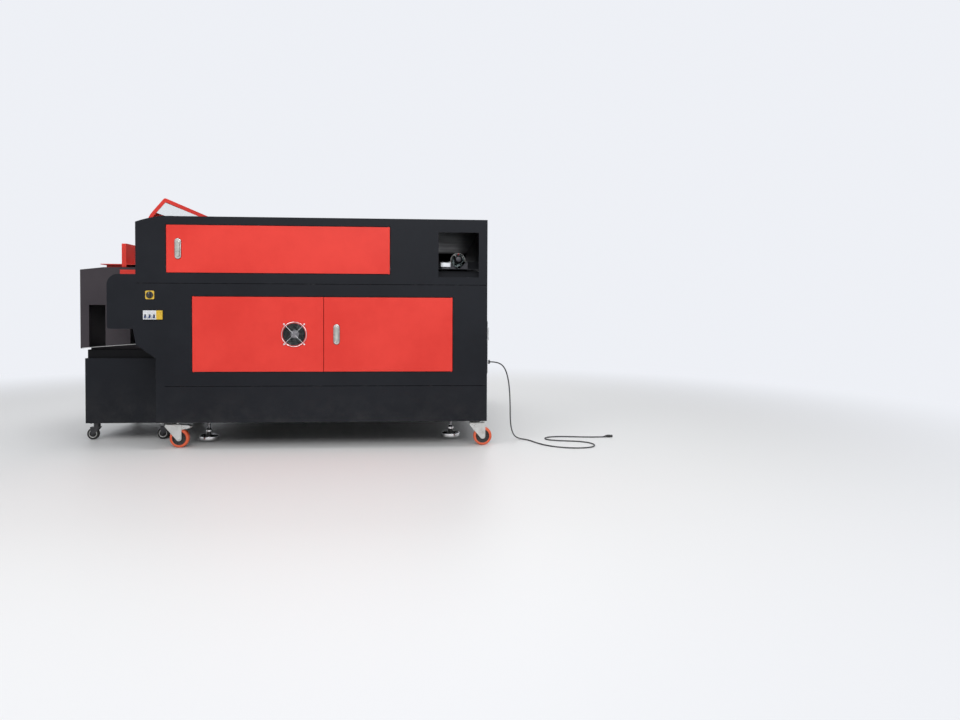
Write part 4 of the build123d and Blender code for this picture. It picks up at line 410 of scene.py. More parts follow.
plated_metal("dark_anodised", (0.05, 0.05, 0.056), (0.08, 0.08, 0.088), 0.42, DRAWN_ALONG_Y, metallic=0.8)
plated_metal("aluminium", (0.50, 0.51, 0.53), (0.57, 0.58, 0.6), 0.38, DRAWN_ALONG_Y)
plated_metal("ground_steel", (0.5, 0.5, 0.52), (0.6, 0.6, 0.62), 0.3, (8.0, 400.0, 400.0))
plated_metal("dark_steel", (0.03, 0.03, 0.034), (0.05, 0.05, 0.055), 0.36, (80.0, 80.0, 80.0), metallic=0.6)
moulded("black_plastic", (0.014, 0.014, 0.016), (0.022, 0.022, 0.024), 0.42)
moulded("matt_plastic", (0.012, 0.014, 0.016), (0.020, 0.023, 0.025), 0.62, gloss=0.25)
moulded("fan_hub", (0.27, 0.26, 0.29), (0.34, 0.33, 0.36), 0.5)
# Painted shade: the seam strips' near-black stands in for the shadow in the side grooves.
moulded("seam_shadow", PAINTED_SHADE_BLACK, (0.0022, 0.0024, 0.0034), 0.85, dust=0.0, gloss=0.05)
moulded("dark_rubber", (0.008, 0.008, 0.009), (0.014, 0.014, 0.014), 0.55, gloss=0.3)
moulded("orange_tyre", (0.68, 0.085, 0.022), (0.78, 0.12, 0.035), 0.34)
moulded("yellow_plastic", (0.66, 0.42, 0.03), (0.74, 0.49, 0.05), 0.34, coat=0.2)
moulded("red_plastic", (0.6, 0.015, 0.012), (0.68, 0.02, 0.016), 0.25, coat=0.4)
moulded("sheath", (0.030, 0.032, 0.035), (0.046, 0.048, 0.052), 0.5, 900.0, 0.2)
moulded("wheel_core", (0.012, 0.011, 0.012), (0.020, 0.018, 0.019), 0.42)
moulded("grey_keys", (0.20, 0.20, 0.21), (0.26, 0.26, 0.27), 0.4)
moulded("screen_glass", (0.010, 0.013, 0.016), (0.014, 0.018, 0.022), 0.08, peel=0.01)
clear_sheet("acrylic", (0.93, 0.96, 0.96))
clear_sheet("tube_glass", (0.90, 0.96, 0.95))
belt_weave()
breaker_plastic()
lever_plastic()

NODE_FINISH = {
    "black_coat": "base_frame near_side_panel far_side_panel rear_panel top_cover front_cover tube_shelf",
    "cabinet_coat_neck_shade": "console_cabinet",
    "hood_coat": "console_shelf console_hood",
    "red_coat": "upper_door left_door right_door lid_shell control_box",
    "grey_paint": "bed_frame power_supply",
    "white_paint": "socket_plate",
    "conveyor_mesh": "conveyor_belt",
    "ground_steel": "front_roller rear_roller gantry_rails",
    "aluminium": "gantry_beam laser_head",
    "dark_anodised": "tube_mounts",
    "tube_glass": "laser_tube",
    "breaker_moulding": "breaker_block",
    "lever_moulding": "breaker_levers",
    "yellow_plastic": "switch_plate",
    "black_plastic": "switch_knob control_panel cable_plug",
    "matt_plastic": "fan_frame fan_rotor",
    "zinc": "caster_plates",
    "chrome": "leveling_feet fan_guard",
    "lock_chrome": "upper_lock right_lock",
    "nickel": "upper_lock_handle right_lock_handle",
    "red_plastic": "stop_button",
    "acrylic": "lid_window",
    "dark_steel": "console_fork_1 console_fork_2 console_fork_3 console_fork_4",
    "orange_tyre": "caster_wheel_1 caster_wheel_2 caster_wheel_3 caster_wheel_4",
    "dark_rubber": "console_wheel_1 console_wheel_2 console_wheel_3 console_wheel_4",
}


def dress(piece, finish):
    """Gives a piece its one material."""
    piece.data.materials.clear()
    piece.data.materials.append(MATERIALS[finish])


for finish_name, node_names in NODE_FINISH.items():
    for node_name in node_names.split():
        dress(NODES[node_name], finish_name)
dress(CABLE_PIECE, "sheath")


# Mesh building


def smooth_corners(points, reach, steps=4):
    """Outline whose inner corners are quadratic curves that start and end reach away from each corner."""
    points = [np.array(point, float) for point in points]
    result = [points[0]]
    for before, corner, after in zip(points, points[1:], points[2:]):
        near, far = np.linalg.norm(before - corner), np.linalg.norm(after - corner)
        start = corner + (before - corner) * min(0.5, reach / near)
        end = corner + (after - corner) * min(0.5, reach / far)
        for t in np.linspace(0.0, 1.0, steps):
            result.append((1 - t) ** 2 * start + 2 * t * (1 - t) * corner + t**2 * end)
    return np.array(result + [points[-1]])


def mirrored_profile(side):
    """Profile of one half, from the middle outwards, with its mirror in the first place."""
    return [(radius, -along) for radius, along in reversed(side)] + list(side)


class Shape:
    """Vertices and faces of one piece, gathered part by part, each face with its material's number."""

    def __init__(self):
        self.points = []
        self.faces = []
        self.marks = []

    def add(self, points, faces, mark=0):
        """Adds points and the faces that number them from zero."""
        start = len(self.points)
        self.points.extend(np.asarray(points, float).tolist())
        self.faces.extend([[start + int(index) for index in face] for face in faces])
        self.marks.extend([mark] * len(faces))

    def skin(self, loops, mark=0, joined=False):
        """Quads between closed loops of equally many points, with flat ends unless the loops join up."""
        loops = np.asarray(loops, float)
        rows, count = loops.shape[:2]
        around = [(k, (k + 1) % count) for k in range(count)]
        faces = []
        for row in range(rows if joined else rows - 1):
            low, high = row * count, (row + 1) % rows * count
            faces += [(low + k, low + n, high + n, high + k) for k, n in around]
        if not joined:
            faces += [tuple(range(count))[::-1], tuple(range((rows - 1) * count, rows * count))]
        self.add(loops.reshape(-1, 3), faces, mark)

    def lathe(self, profile, at, axis, sides=40, mark=0, joined=False):
        """Turned form: p(r, a, t) = at + a * axis + r * (cos t * u + sin t * v) over the profile's (r, a)."""
        axis = Vector(axis).normalized()
        side = axis.orthogonal().normalized()
        turn = (np.arange(sides) + 0.5) * 2 * math.pi / sides
        around = np.outer(np.cos(turn), side) + np.outer(np.sin(turn), axis.cross(side))
        self.skin([np.array(at) + a * np.array(axis) + r * around for r, a in profile], mark, joined)

    def bar(self, start, end, radius, mark=0, sides=14):
        """Round bar between two points."""
        along = Vector(end) - Vector(start)
        self.lathe([(radius, 0.0), (radius, along.length)], start, along, sides, mark)

    def ring(self, at, axis, radius, wire, mark=0, sides=64, wire_sides=8):
        """Torus: the profile is a circle of the wire's radius about the ring's radius."""
        turn = np.arange(wire_sides) * 2 * math.pi / wire_sides
        profile = [(radius + wire * math.cos(t), wire * math.sin(t)) for t in turn]
        self.lathe(profile, at, axis, sides, mark, joined=True)

    def run(self, path, radius, mark=0, sides=10):
        """Round wire along a sampled path, its section square to the path."""
        path = np.asarray(path, float)
        ahead = np.gradient(path, axis=0)
        ahead /= np.linalg.norm(ahead, axis=1)[:, None]
        side = np.cross(ahead, (0.31, 0.22, 0.92))
        side /= np.linalg.norm(side, axis=1)[:, None]
        over = np.cross(ahead, side)
        turn = np.arange(sides) * 2 * math.pi / sides
        rounds = np.cos(turn)[None, :, None] * side[:, None] + np.sin(turn)[None, :, None] * over[:, None]
        self.skin(path[:, None] + radius * rounds, mark)

    def box(self, low, high, edge=0.0, mark=0):
        """Block between two opposite corners: upright edges rounded and both ends chamfered, all by edge."""
        low, high = np.sort(np.array([low, high], float), axis=0)
        middle, half = (low + high) / 2, (high - low) / 2 - edge
        turn = (np.arange(16) + 0.5) * math.pi / 8
        lean = np.column_stack([np.cos(turn), np.sin(turn)])
        corner = middle[:2] + np.sign(lean) * half[:2]
        loops = []
        for z, bulge in ((low[2], 0.0), (low[2] + edge, edge), (high[2] - edge, edge), (high[2], 0.0)):
            loops.append(np.column_stack([corner + bulge * lean, np.full(16, z)]))
        self.skin(loops, mark)

    def stadium(self, at, levels, mark=0, count=48):
        """Upright stadiums stacked along y: levels hold (radius, straight, y), and each makes one loop."""
        turn = np.arange(count) * 2 * math.pi / count
        loops = []
        for radius, straight, y in levels:
            away = np.where(np.sin(turn) >= 0, straight / 2, -straight / 2)
            x, z = at[0] + radius * np.cos(turn), at[1] + radius * np.sin(turn) + away
            loops.append(np.column_stack([x, np.full(count, y), z]))
        self.skin(loops, mark)

    def screw(self, at, axis, radius, mark=0, socket_mark=0):
        """Button-head screw with a hexagon socket, standing on a face."""
        high = 0.55 * radius
        dome = [(radius * math.cos(t), high * math.sin(t)) for t in np.linspace(0.0, 1.1, 6)]
        self.lathe([(radius, -0.2 * high)] + dome + [(0.42 * radius, high * 0.9)], at, axis, 20, mark)
        floor = [(0.42 * radius, high * 0.905), (0.0, high * 0.91)]
        self.lathe(floor, at, axis, 6, socket_mark)

    def finish(self, name, body, finishes, node=None, slot=None, angle=32.0):
        """Makes the object: doubles merged, faces outwards, edges past the angle sharp."""
        mesh = bpy.data.meshes.new(name)
        mesh.from_pydata(self.points, [], self.faces)
        mesh.polygons.foreach_set("material_index", self.marks)
        work = bmesh.new()
        work.from_mesh(mesh)
        bmesh.ops.remove_doubles(work, verts=work.verts, dist=1e-6)
        bmesh.ops.recalc_face_normals(work, faces=work.faces)
        work.to_mesh(mesh)
        work.free()
        mesh.polygons.foreach_set("use_smooth", [True] * len(mesh.polygons))
        mesh.set_sharp_from_angle(angle=math.radians(angle))
        piece = bpy.data.objects.new(name, mesh)
        bpy.context.scene.collection.objects.link(piece)
        for finish in finishes:
            mesh.materials.append(MATERIALS[finish])
        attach(piece, body)
        if node:
            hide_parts(node)


def middle_of(node):
    """Middle and half size of a node's box."""
    low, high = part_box(node)
    return (low + high) / 2, (high - low) / 2


def mm(*pairs):
    """Pairs of millimetres as an array in metres: radius and distance along, or two coordinates."""
    return np.array(pairs, float) / 1000


def sleeve(outer, inner, low, high):
    """Profile of a plain sleeve."""
    return [(outer, low), (outer, high), (inner, high), (inner, low)]


# Fine pieces

X_AXIS, Y_AXIS, Z_AXIS = (1, 0, 0), (0, 1, 0), (0, 0, 1)
NEAR, FRONT = (0, -1, 0), (-1, 0, 0)
SIDES = (-1, 1)


def turned_wheel(shape, at, radius, half, tyre):
    """Cushioned tyre on a ribbed core: tyre is the share of the radius where the core ends."""
    tread = [(radius, 0.0), (radius, 0.55 * half), (0.94 * radius, half), (tyre * radius, half)]
    shape.lathe(mirrored_profile(smooth_corners(tread, 0.1 * radius)), at, Y_AXIS, 64, joined=True)
    core = [(0.13, 0.92), (0.30, 0.92), (0.35, 0.30)]
    core += [(tyre - 0.10, 0.30), (tyre - 0.05, 0.86), (tyre + 0.002, 0.9)]
    side = smooth_corners([(r * radius, a * half) for r, a in core], 0.03 * radius)
    shape.lathe(mirrored_profile(side), at, Y_AXIS, 64, 1, joined=True)
    section = np.array([(-1, -1), (1, -1), (1, 1), (-1, 1)]) * (0.03 * radius, 0.68 * half)
    for turn in np.arange(6) * math.pi / 3:
        out = np.array((math.cos(turn), 0, math.sin(turn)))
        across = np.array((-math.sin(turn), 0, math.cos(turn)))
        loops = [
            [np.array(at) + reach * radius * out + a * across + (0, b, 0) for a, b in section]
            for reach in (0.28, tyre - 0.06)
        ]
        shape.skin(loops, 1)


def add_wheels():
    """Orange wheels of the machine and black ones with pale hub rings of the console."""
    for number in range(1, 5):
        node = f"caster_wheel_{number}"
        at, half = middle_of(node)
        wheel = Shape()
        turned_wheel(wheel, at, half.z, half.y, 0.73)
        finishes = ("orange_tyre", "wheel_core")
        wheel.finish(f"caster_tyre_{number}", f"wheel_{number}", finishes, node, "orange_wheel")
        node, tyre = f"console_wheel_{number}", f"console_tyre_{number}"
        at, half = middle_of(node)
        wheel = Shape()
        turned_wheel(wheel, at, half.z, half.y, 0.72)
        for side in SIDES:
            wheel.ring(at + Vector((0, side * 0.80 * half.y, 0)), Y_AXIS, 0.62 * half.z, 0.0018, 2)
        wheel.finish(tyre, tyre, ("dark_rubber", "wheel_core", "zinc"), node, "black_wheel")


def add_caster_fittings():
    """Washer, nut and bolt end on either side of each wheel."""
    families = (
        ("caster", "caster_", FORK_OUT, 0.0085, "zinc"),
        ("console", "console_caster_", SMALL_FORK_OUT, 0.0055, "dark_steel"),
    )
    for family, body, out, nut, finish in families:
        for number in range(1, 5):
            at = middle_of(f"{family}_wheel_{number}")[0]
            fitting = Shape()
            for side in SIDES:
                face, away = at + Vector((0, side * out, 0)), (0, side, 0)
                fitting.lathe([(1.25 * nut, 0.0), (1.25 * nut, 0.12 * nut)], face, away, 32)
                fitting.lathe([(nut, 0.12 * nut), (nut, 0.6 * nut), (0.86 * nut, 0.7 * nut)], face, away, 6)
                fitting.lathe([(0.5 * nut, 0.6 * nut), (0.5 * nut, 0.95 * nut)], face, away, 20)
            fitting.finish(f"{family}_axle_{number}", f"{body}{number}", (finish,))


def fork_leg(at, out):
    """Side of a pressed fork: round about the axle, upright behind it, raked to the crown in front."""
    turn = np.radians(np.linspace(0.0, -140.0, 18))
    end = np.column_stack([at.x + out * np.cos(turn), at.z + out * np.sin(turn)])
    front, back = at.x - CASTER_TRAIL - 0.030, at.x + out
    crown = [(front, FORK_TOP - 0.009), (front + 0.004, FORK_TOP)]
    crown += [(back - 0.003, FORK_TOP), (back, FORK_TOP - 0.003)]
    return np.vstack([end, crown])


def upright_prism(outline, *faces):
    """Two loops of an outline in x and z, at the y of either face."""
    return [np.column_stack([outline[:, 0], np.full(len(outline), y), outline[:, 1]]) for y in sorted(faces)]


def add_forks():
    """Pressed forks of the machine's casters: legs, crown, race, a dark rubber seal whose black also stands in
    for the shade under the crown, kingpin, axle and brake lever.
    """
    race = smooth_corners(mm((0, -1), (32.4, -1), (32.4, 2), (30, 3), (0, 3)), 0.0008)
    seal_and_shade = smooth_corners(mm((0, 3), (28.5, 3), (28.5, 12.9), (0, 12.9)), 0.0012)
    # Brake, drawn behind the axle and above the floor
    plate = mm((10, 120.5), (50, 118.5), (59.5, 112), (57.5, 104), (30, 98.5), (10, 95))
    pedal = mm((10, 120.5), (50, 118.5), (59.5, 112), (58.5, 110.8), (49, 116.8), (10, 118.8))
    crown_half, pedal_half = FORK_OUT - 0.0002, FORK_IN - 0.0002
    for number in range(1, 5):
        node = f"caster_fork_{number}"
        at = middle_of(f"caster_wheel_{number}")[0]
        crown = (at.x - CASTER_TRAIL, at.y, FORK_TOP)
        fork = Shape()
        for side in SIDES:
            outer = at.y + side * FORK_OUT
            fork.skin(upright_prism(fork_leg(at, 0.0145), at.y + side * FORK_IN, outer))
            low = (at.x - 0.0085, outer - side * 0.0004, at.z + 0.017)
            fork.box(low, (at.x + 0.0105, outer + side * 0.0011, FORK_TOP - 0.005), 0.0005)
        low = (crown[0] - 0.0285, at.y - crown_half, FORK_TOP - 0.003)
        fork.box(low, (at.x + 0.0125, at.y + crown_half, FORK_TOP), 0.0008)
        fork.lathe(race, crown, Z_AXIS, 56)
        # The seal ring is dark rubber. Its black is partly painted shade, standing in for the shade under the
        # crown over the race.
        fork.lathe(seal_and_shade, crown, Z_AXIS, 56, 1)
        fork.bar(crown, (crown[0], at.y, CASTER_MOUNT + 0.0045), 0.0077)
        axle = Vector((0, FORK_OUT + 0.0040, 0))
        fork.bar(at - axle, at + axle, 0.0058)
        if number % 2:
            for side in SIDES:
                faces = (at.y + side * 0.0157, at.y + side * (FORK_IN - 0.0001))
                fork.skin(upright_prism(plate + (at.x, 0.0), *faces))
            fork.skin(upright_prism(pedal + (at.x, 0.0), at.y - pedal_half, at.y + pedal_half))
        finishes = ("zinc", "dark_rubber")
        fork.finish(f"caster_fork_pressed_{number}", f"caster_{number}", finishes, node, "zinc_plate")


def add_shelf_hem():
    """Bright rolled hem along the near edge of the console's sloping shelf."""
    low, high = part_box("console_shelf")
    section = mm((0, 0), (-0.9, -0.5), (-0.9, -2.3), (0, -2.8))
    hem = Shape()
    hem.skin([[(x, low.y + a, z + b) for a, b in section] for x, z in zip((low.x, high.x), SHELF_EDGE)])
    hem.finish("shelf_hem", "console", ("zinc",))


def add_window_shade_plates():
    """Low black upright plates on the tube shelf, one on either side of the first V-block: dark sheets that
    block the view past the block and stand in for the shade inside the window (painted shade).
    """
    low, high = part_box("tube_mounts")
    foot_top = TUBE_SHELF_Z + 0.002
    plates = Shape()
    for left, right in ((low.x - 0.060, low.x - 0.0005), (high.x + 0.0005, high.x + 0.080)):
        plates.box((left, low.y + 0.010, TUBE_SHELF_Z), (right, low.y + 0.012, high.z + 0.004), 0.0006)
        plates.box((left, low.y + 0.0121, TUBE_SHELF_Z), (right, low.y + 0.026, foot_top), 0.0006)
        for x in (left + 0.012, right - 0.012):
            plates.screw((x, low.y + 0.019, foot_top), Z_AXIS, 0.0036, 1, 2)
    plates.finish("window_shade_plates", "machine", ("black_coat", "zinc", "black_plastic"))


def add_mirror_block():
    """Adjustable block beside the tube's end: dark base, bright ground block, two screws."""
    (left, right), (near, far), (joint, top) = MIRROR_BLOCK
    knurl = mm((4.5, 0), (4.5, 6), (3.8, 7), (0, 7))
    block = Shape()
    block.box((left + 0.006, near + 0.004, TUBE_SHELF_Z), (right - 0.006, far - 0.004, joint), 0.0015, 1)
    block.box((left, near, joint), (right, far, top), 0.0015)
    for x in (left + 0.012, right - 0.012):
        block.lathe(knurl, (x, (near + far) / 2, top), Z_AXIS, 18, 1)
    block.finish("mirror_block", "machine", ("aluminium", "dark_anodised"))


def thread_loops(x, y, low, high, radius, pitch, depth, sides=20, steps=6):
    """Loops of a screw thread: r(z, t) = radius - depth * (1 - cos(2 pi z / pitch - t)) / 2."""
    heights = np.arange(low, high, pitch / steps)
    turn = np.arange(sides) * 2 * math.pi / sides
    cut = radius - depth * 0.5 * (1 - np.cos(2 * math.pi * heights[:, None] / pitch - turn[None, :]))
    around = [cut * np.cos(turn) + x, cut * np.sin(turn) + y, np.repeat(heights[:, None], sides, axis=1)]
    return np.stack(around, axis=2)


def add_levelling_feet():
    """Chromed disc, black neck and cone nut, a rolled thread on the stem and a jam nut under the frame; the
    neck's black stands in for the shade between disc and nut (painted shade).
    """
    low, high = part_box("leveling_feet")
    disc, stem_top, hexagon_high = 0.052, 0.140, 0.014
    plate = smooth_corners(mm((0, 0), (50, 0), (52, 2), (52, 20), (47, 24), (22, 27), (12, 29)), 0.0022)
    neck = mm((0, 28), (11.5, 28), (11.5, 43), (0, 43))
    cone = smooth_corners(mm((0, 42), (16, 42), (18, 44), (18, 54), (9.5, 64), (0, 66)), 0.001)
    hexagon = mm((0, 0), (12.8, 0), (14.9, 1.5), (14.9, 12.5), (12.8, 14), (0, 14))
    feet = Shape()
    for x, gap in ((low.x + disc, FOOT_GAPS[0]), (high.x - disc, FOOT_GAPS[1])):
        for y in (low.y + disc, high.y - disc):
            at = (x, y, gap)
            feet.lathe(np.vstack([plate, mm((0, 29))]), at, Z_AXIS, 72)
            feet.ring((x, y, gap + 0.0245), Z_AXIS, 0.0425, 0.0009)
            # Painted shade: the neck is black plastic, standing in for the shade between the disc and the cone
            # nut.
            feet.lathe(neck, at, Z_AXIS, 32, 1)
            feet.lathe(cone, at, Z_AXIS, 48)
            feet.skin(thread_loops(x, y, gap + 0.064, stem_top, 0.008, 0.002, 0.0008))
            feet.lathe(hexagon, (x, y, stem_top - hexagon_high), Z_AXIS, 6)
    feet.finish("levelling_feet", "machine", ("chrome", "black_plastic"), "leveling_feet", "chrome_plate")


def add_fan_guard():
    """Finger guard: ten thin rings on four wires that run out to eyes under screws."""
    at, half = middle_of("fan_guard")
    front, rings, inmost, step = at.y - half.y, 10, 0.0065, 0.0064
    guard = Shape()
    for index in range(rings):
        wire, mark = (0.0008, 2) if index < rings - 1 else (0.0016, 0)
        guard.ring((at.x, front + 0.0018, at.z), Y_AXIS, inmost + step * index, wire, mark, sides=72)
    centre = Vector((at.x, front + 0.0026, at.z))
    for quarter in range(4):
        turn = math.pi / 4 + quarter * math.pi / 2
        out = Vector((math.cos(turn), 0, math.sin(turn)))
        end = centre + out * GUARD_SCREWS
        guard.bar(centre + out * inmost, end, 0.0013)
        guard.ring(end, Y_AXIS, 0.0034, 0.0012, sides=24)
        guard.bar(end + Vector((0, -0.0005, 0)), (end.x, at.y + half.y, end.z), 0.0022)
        guard.screw(end + Vector((0, -0.0006, 0)), NEAR, 0.0034, 0, 1)
    finishes = ("chrome", "black_plastic", "ring_chrome")
    guard.finish("finger_guard", "left_door", finishes, "fan_guard", "chrome_plate")


def blade_loop(at, share, start, hub, tip):
    """Section of a fan blade at a share of its reach: cambered, swept, and pitched less towards the tip."""
    radius = hub + share * (tip - hub)
    pitch = math.radians(52 - 20 * share)
    chord, sweep = 0.024 + 0.008 * share, 0.35 * share**1.5
    turn = np.linspace(0, 2 * math.pi, 14, endpoint=False)
    along = 0.5 * chord * np.cos(turn)
    off = 0.0022 * (1 - (2 * along / chord) ** 2) + 0.0009 * np.sin(turn)
    deep = along * math.cos(pitch) + off * math.sin(pitch)
    angle = start + sweep + (along * math.sin(pitch) - off * math.cos(pitch)) / radius
    y = at.y - 0.001 + deep * 0.86
    return np.column_stack([at.x + radius * np.cos(angle), y, at.z + radius * np.sin(angle)])


def add_fan_rotor():
    """Moulded rotor: domed grey hub and seven swept blades, pitched more at the root than at the tip."""
    at, half = middle_of("fan_rotor")
    front, back = at.y - half.y, at.y + half.y
    cup = smooth_corners(mm((0, 0), (18, 0), (22, 4), (22, 24), (20, 26), (0, 26)), 0.002)
    blades, hub, tip = 7, 0.020, 0.056
    rotor = Shape()
    rotor.lathe(cup, (at.x, front, at.z), Y_AXIS, 56, 1)
    rotor.ring((at.x, front + 0.0004, at.z), Y_AXIS, 0.0135, 0.0006, 1)
    for start in np.arange(blades) * 2 * math.pi / blades:
        rotor.skin([blade_loop(at, share, start, hub, tip) for share in np.linspace(0.0, 1.0, 9)])
    rotor.bar((at.x, back - 0.004, at.z), (at.x, back, at.z), 0.003)
    rotor.finish("fan_blades", "fan_rotor", ("matt_plastic", "fan_hub"), "fan_rotor", "black_plastic", 40.0)


def add_motor_cap():
    """Round cap over the fan's motor, at the back of its frame."""
    at, half = middle_of("fan_frame")
    cover = smooth_corners(mm((0, 0.6), (15, 0.6), (17.5, 0), (17.5, -2), (0, -2)), 0.001)
    motor = Shape()
    motor.lathe(cover, (at.x, at.y + half.y, at.z), Y_AXIS)
    motor.finish("motor_cap", "left_door", ("grey_paint",))


def add_seam_shade_strips():
    """Near-black strips in the grooves where the sheets of each side meet: painted shade standing in for the
    shadow in each groove.
    """
    strips = Shape()
    for start, height in SEAM_LINES:
        for side in SIDES:
            inner, outer = (side * (SIDE_FACE - deep) + NEAR_SHIFT.y for deep in (SEAM_DEEP, 0.0))
            low = (start + NEAR_SHIFT.x, inner, height - SEAM_HALF)
            strips.box(low, (REAR_END + NEAR_SHIFT.x, outer, height + SEAM_HALF), 0.0002)
    strips.finish("seam_shade_strips", "machine", ("seam_shadow",))


def add_lock(lock, handle, door, turner):
    """Flush stadium lock: dark gasket, widened past the plate as painted shadow round it, dished plate, barrel
    and nut, then the handle, key cylinder and cam.
    """
    at, half = middle_of(lock)
    face, straight = at.y - half.y, 2 * (half.z - half.x)
    place, gasket_and_shade_rim = (at.x, at.z), half.x + 0.0018
    plate = Shape()
    # The dark rubber gasket reaches 1.8 mm past the plate: a real gasket, widened to stand in for the shadow
    # round the lock (painted shade).
    plate.stadium(place, [(gasket_and_shade_rim, straight, face + 0.0040), (gasket_and_shade_rim, straight, face + 0.0030)], 1)
    steps = mm((0, 3.2), (0, 1.4), (0.7, 0.4), (1.8, 0), (4.2, 0), (4.8, 1.4))
    plate.stadium(place, [(half.x - inset, straight, face + deep) for inset, deep in steps])
    plate.bar((at.x, face + 0.003, at.z), (at.x, at.y + half.y, at.z), 0.0098)
    nut = mm((0, 0), (12.5, 0), (13.5, 0.8), (13.5, 5), (0, 5))
    plate.lathe(nut, (at.x, face + 0.006, at.z), Y_AXIS, 6)
    plate.finish(f"{lock}_plate", door, ("lock_chrome", "dark_rubber"), lock, "chrome_plate")
    seat = face - 0.0001
    grip = Shape()
    steps = mm((0, 0), (0, -2.8), (0.6, -4), (1.6, -4.5), (3, -4.5), (4, -2.6))
    grip.stadium(place, [(HANDLE_RADIUS - inset, HANDLE_STRAIGHT, seat + rise) for inset, rise in steps])
    key = Vector((at.x, seat, at.z + 0.26 * HANDLE_STRAIGHT))
    grip.lathe(mm((4.8, 0), (4.8, 4), (4.2, 4.5), (0, 4.5)), key, NEAR, 32)
    grip.box(key + Vector((-0.0005, -0.0047, -0.0026)), key + Vector((0.0005, -0.0044, 0.0026)), 0.0, 1)
    low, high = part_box(handle)
    grip.bar((at.x, seat - 0.001, at.z), (at.x, high.y, at.z), 0.0049)
    cam = high.y - 0.003
    grip.box((at.x - 0.008, cam, low.z), (at.x + 0.008, high.y, at.z + 0.008), 0.0012)
    grip.lathe(mm((0, 0), (6.5, 0), (6.5, -4), (0, -4)), (at.x, cam, at.z), Y_AXIS, 6)
    grip.finish(f"{lock}_grip", turner, ("nickel", "black_plastic"), handle, "satin_nickel")


def add_laser_tube():
    """Glass laser tube: envelope, water jacket, bore and coiled return, then electrodes and mirror caps."""
    at, half = middle_of("laser_tube")
    radius, reach, neck, wall = half.z, half.y, 0.022, 0.0016
    corners = [(radius, 0.0), (radius, reach - 0.076), (neck, reach - 0.060), (neck, reach - 0.030)]
    end = smooth_corners(corners, 0.012, 8)
    jacket, bore = reach - 0.15, reach - 0.05
    glass = Shape()
    for side in SIDES:
        glass.lathe(np.vstack([end, end[::-1] - (wall, 0.0)]), at, (0, side, 0), 56, joined=True)
    glass.lathe(sleeve(0.027, 0.0255, -jacket, jacket), at, Y_AXIS, 48, joined=True)
    glass.lathe(sleeve(0.0105, 0.0090, -bore, bore), at, Y_AXIS, 32, joined=True)
    turn, coil = np.linspace(0.0, 8 * math.pi, 160), 0.0325
    x, z = at.x + coil * np.cos(turn), at.z + coil * np.sin(turn)
    for side in SIDES:
        y = at.y + side * (reach - 0.17 - 0.075 * turn / turn[-1])
        glass.run(np.column_stack([x, y, z]), 0.0032, 0, 8)
    glass.finish("tube_envelope", "machine", ("tube_glass",), "laser_tube", "tube_glass", 50.0)
    cap = mm((0, -30), (21.5, -30), (21.9, -27), (21.9, -12), (15, -8), (15, -1), (0, 0))
    cap = smooth_corners(cap, 0.0012) + (0.0, reach)
    metal = Shape()
    for side in SIDES:
        out = (0, side, 0)
        metal.lathe(sleeve(0.0205, 0.0190, reach - 0.125, reach - 0.075), at, out, 40, joined=True)
        metal.lathe(cap, at, out, 48)
        metal.ring(at + Vector((0, side * (reach - 0.020), 0)), Y_AXIS, 0.0214, 0.0005, 2)
        pin = at + Vector((0, side * (reach - 0.018), 0))
        metal.bar(pin, pin + Vector((0, 0, 0.030)), 0.0022)
        metal.lathe(mm((4.5, 24), (4.5, 34), (0, 34)), pin, Z_AXIS, 16, 1)
        nipple = pin + Vector((0.0, -side * 0.030, 0.0))
        for angle in (0.6, 2.2):
            lean = Vector((math.cos(angle), 0, math.sin(angle)))
            metal.bar(nipple + lean * 0.020, nipple + lean * 0.034, 0.0034, 2)
    finishes = ("dark_anodised", "red_plastic", "zinc")
    metal.finish("tube_ends", "machine", finishes, None, "anodised_aluminium")


def add_tube_straps():
    """Steel band over the tube at each block, with a foot and a screw on either side."""
    tube, tube_half = middle_of("laser_tube")
    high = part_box("tube_mounts")[1]
    radius, half_width = tube_half.z + 0.0006, 0.007
    section = mm((-0.6, -7), (0.6, -7), (0.6, 7), (-0.6, 7))
    straps = Shape()
    for y in MOUNT_PLACES:
        loops = []
        for angle in np.linspace(-0.20, math.pi + 0.20, 48):
            out = Vector((math.cos(angle), 0, math.sin(angle)))
            middle = Vector((tube.x, y, tube.z)) + out * (radius + 0.0006)
            loops.append([middle + out * a + Vector((0, b, 0)) for a, b in section])
        straps.skin(loops)
        for side in SIDES:
            inner, outer = tube.x + side * (radius - 0.001), tube.x + side * (radius + 0.0125)
            straps.box((inner, y - half_width, high.z), (outer, y + half_width, high.z + 0.0014), 0.0004)
            straps.screw((tube.x + side * (radius + 0.0065), y, high.z + 0.0014), Z_AXIS, 0.0042, 0, 1)
    straps.finish("tube_straps", "machine", ("zinc", "black_plastic"))


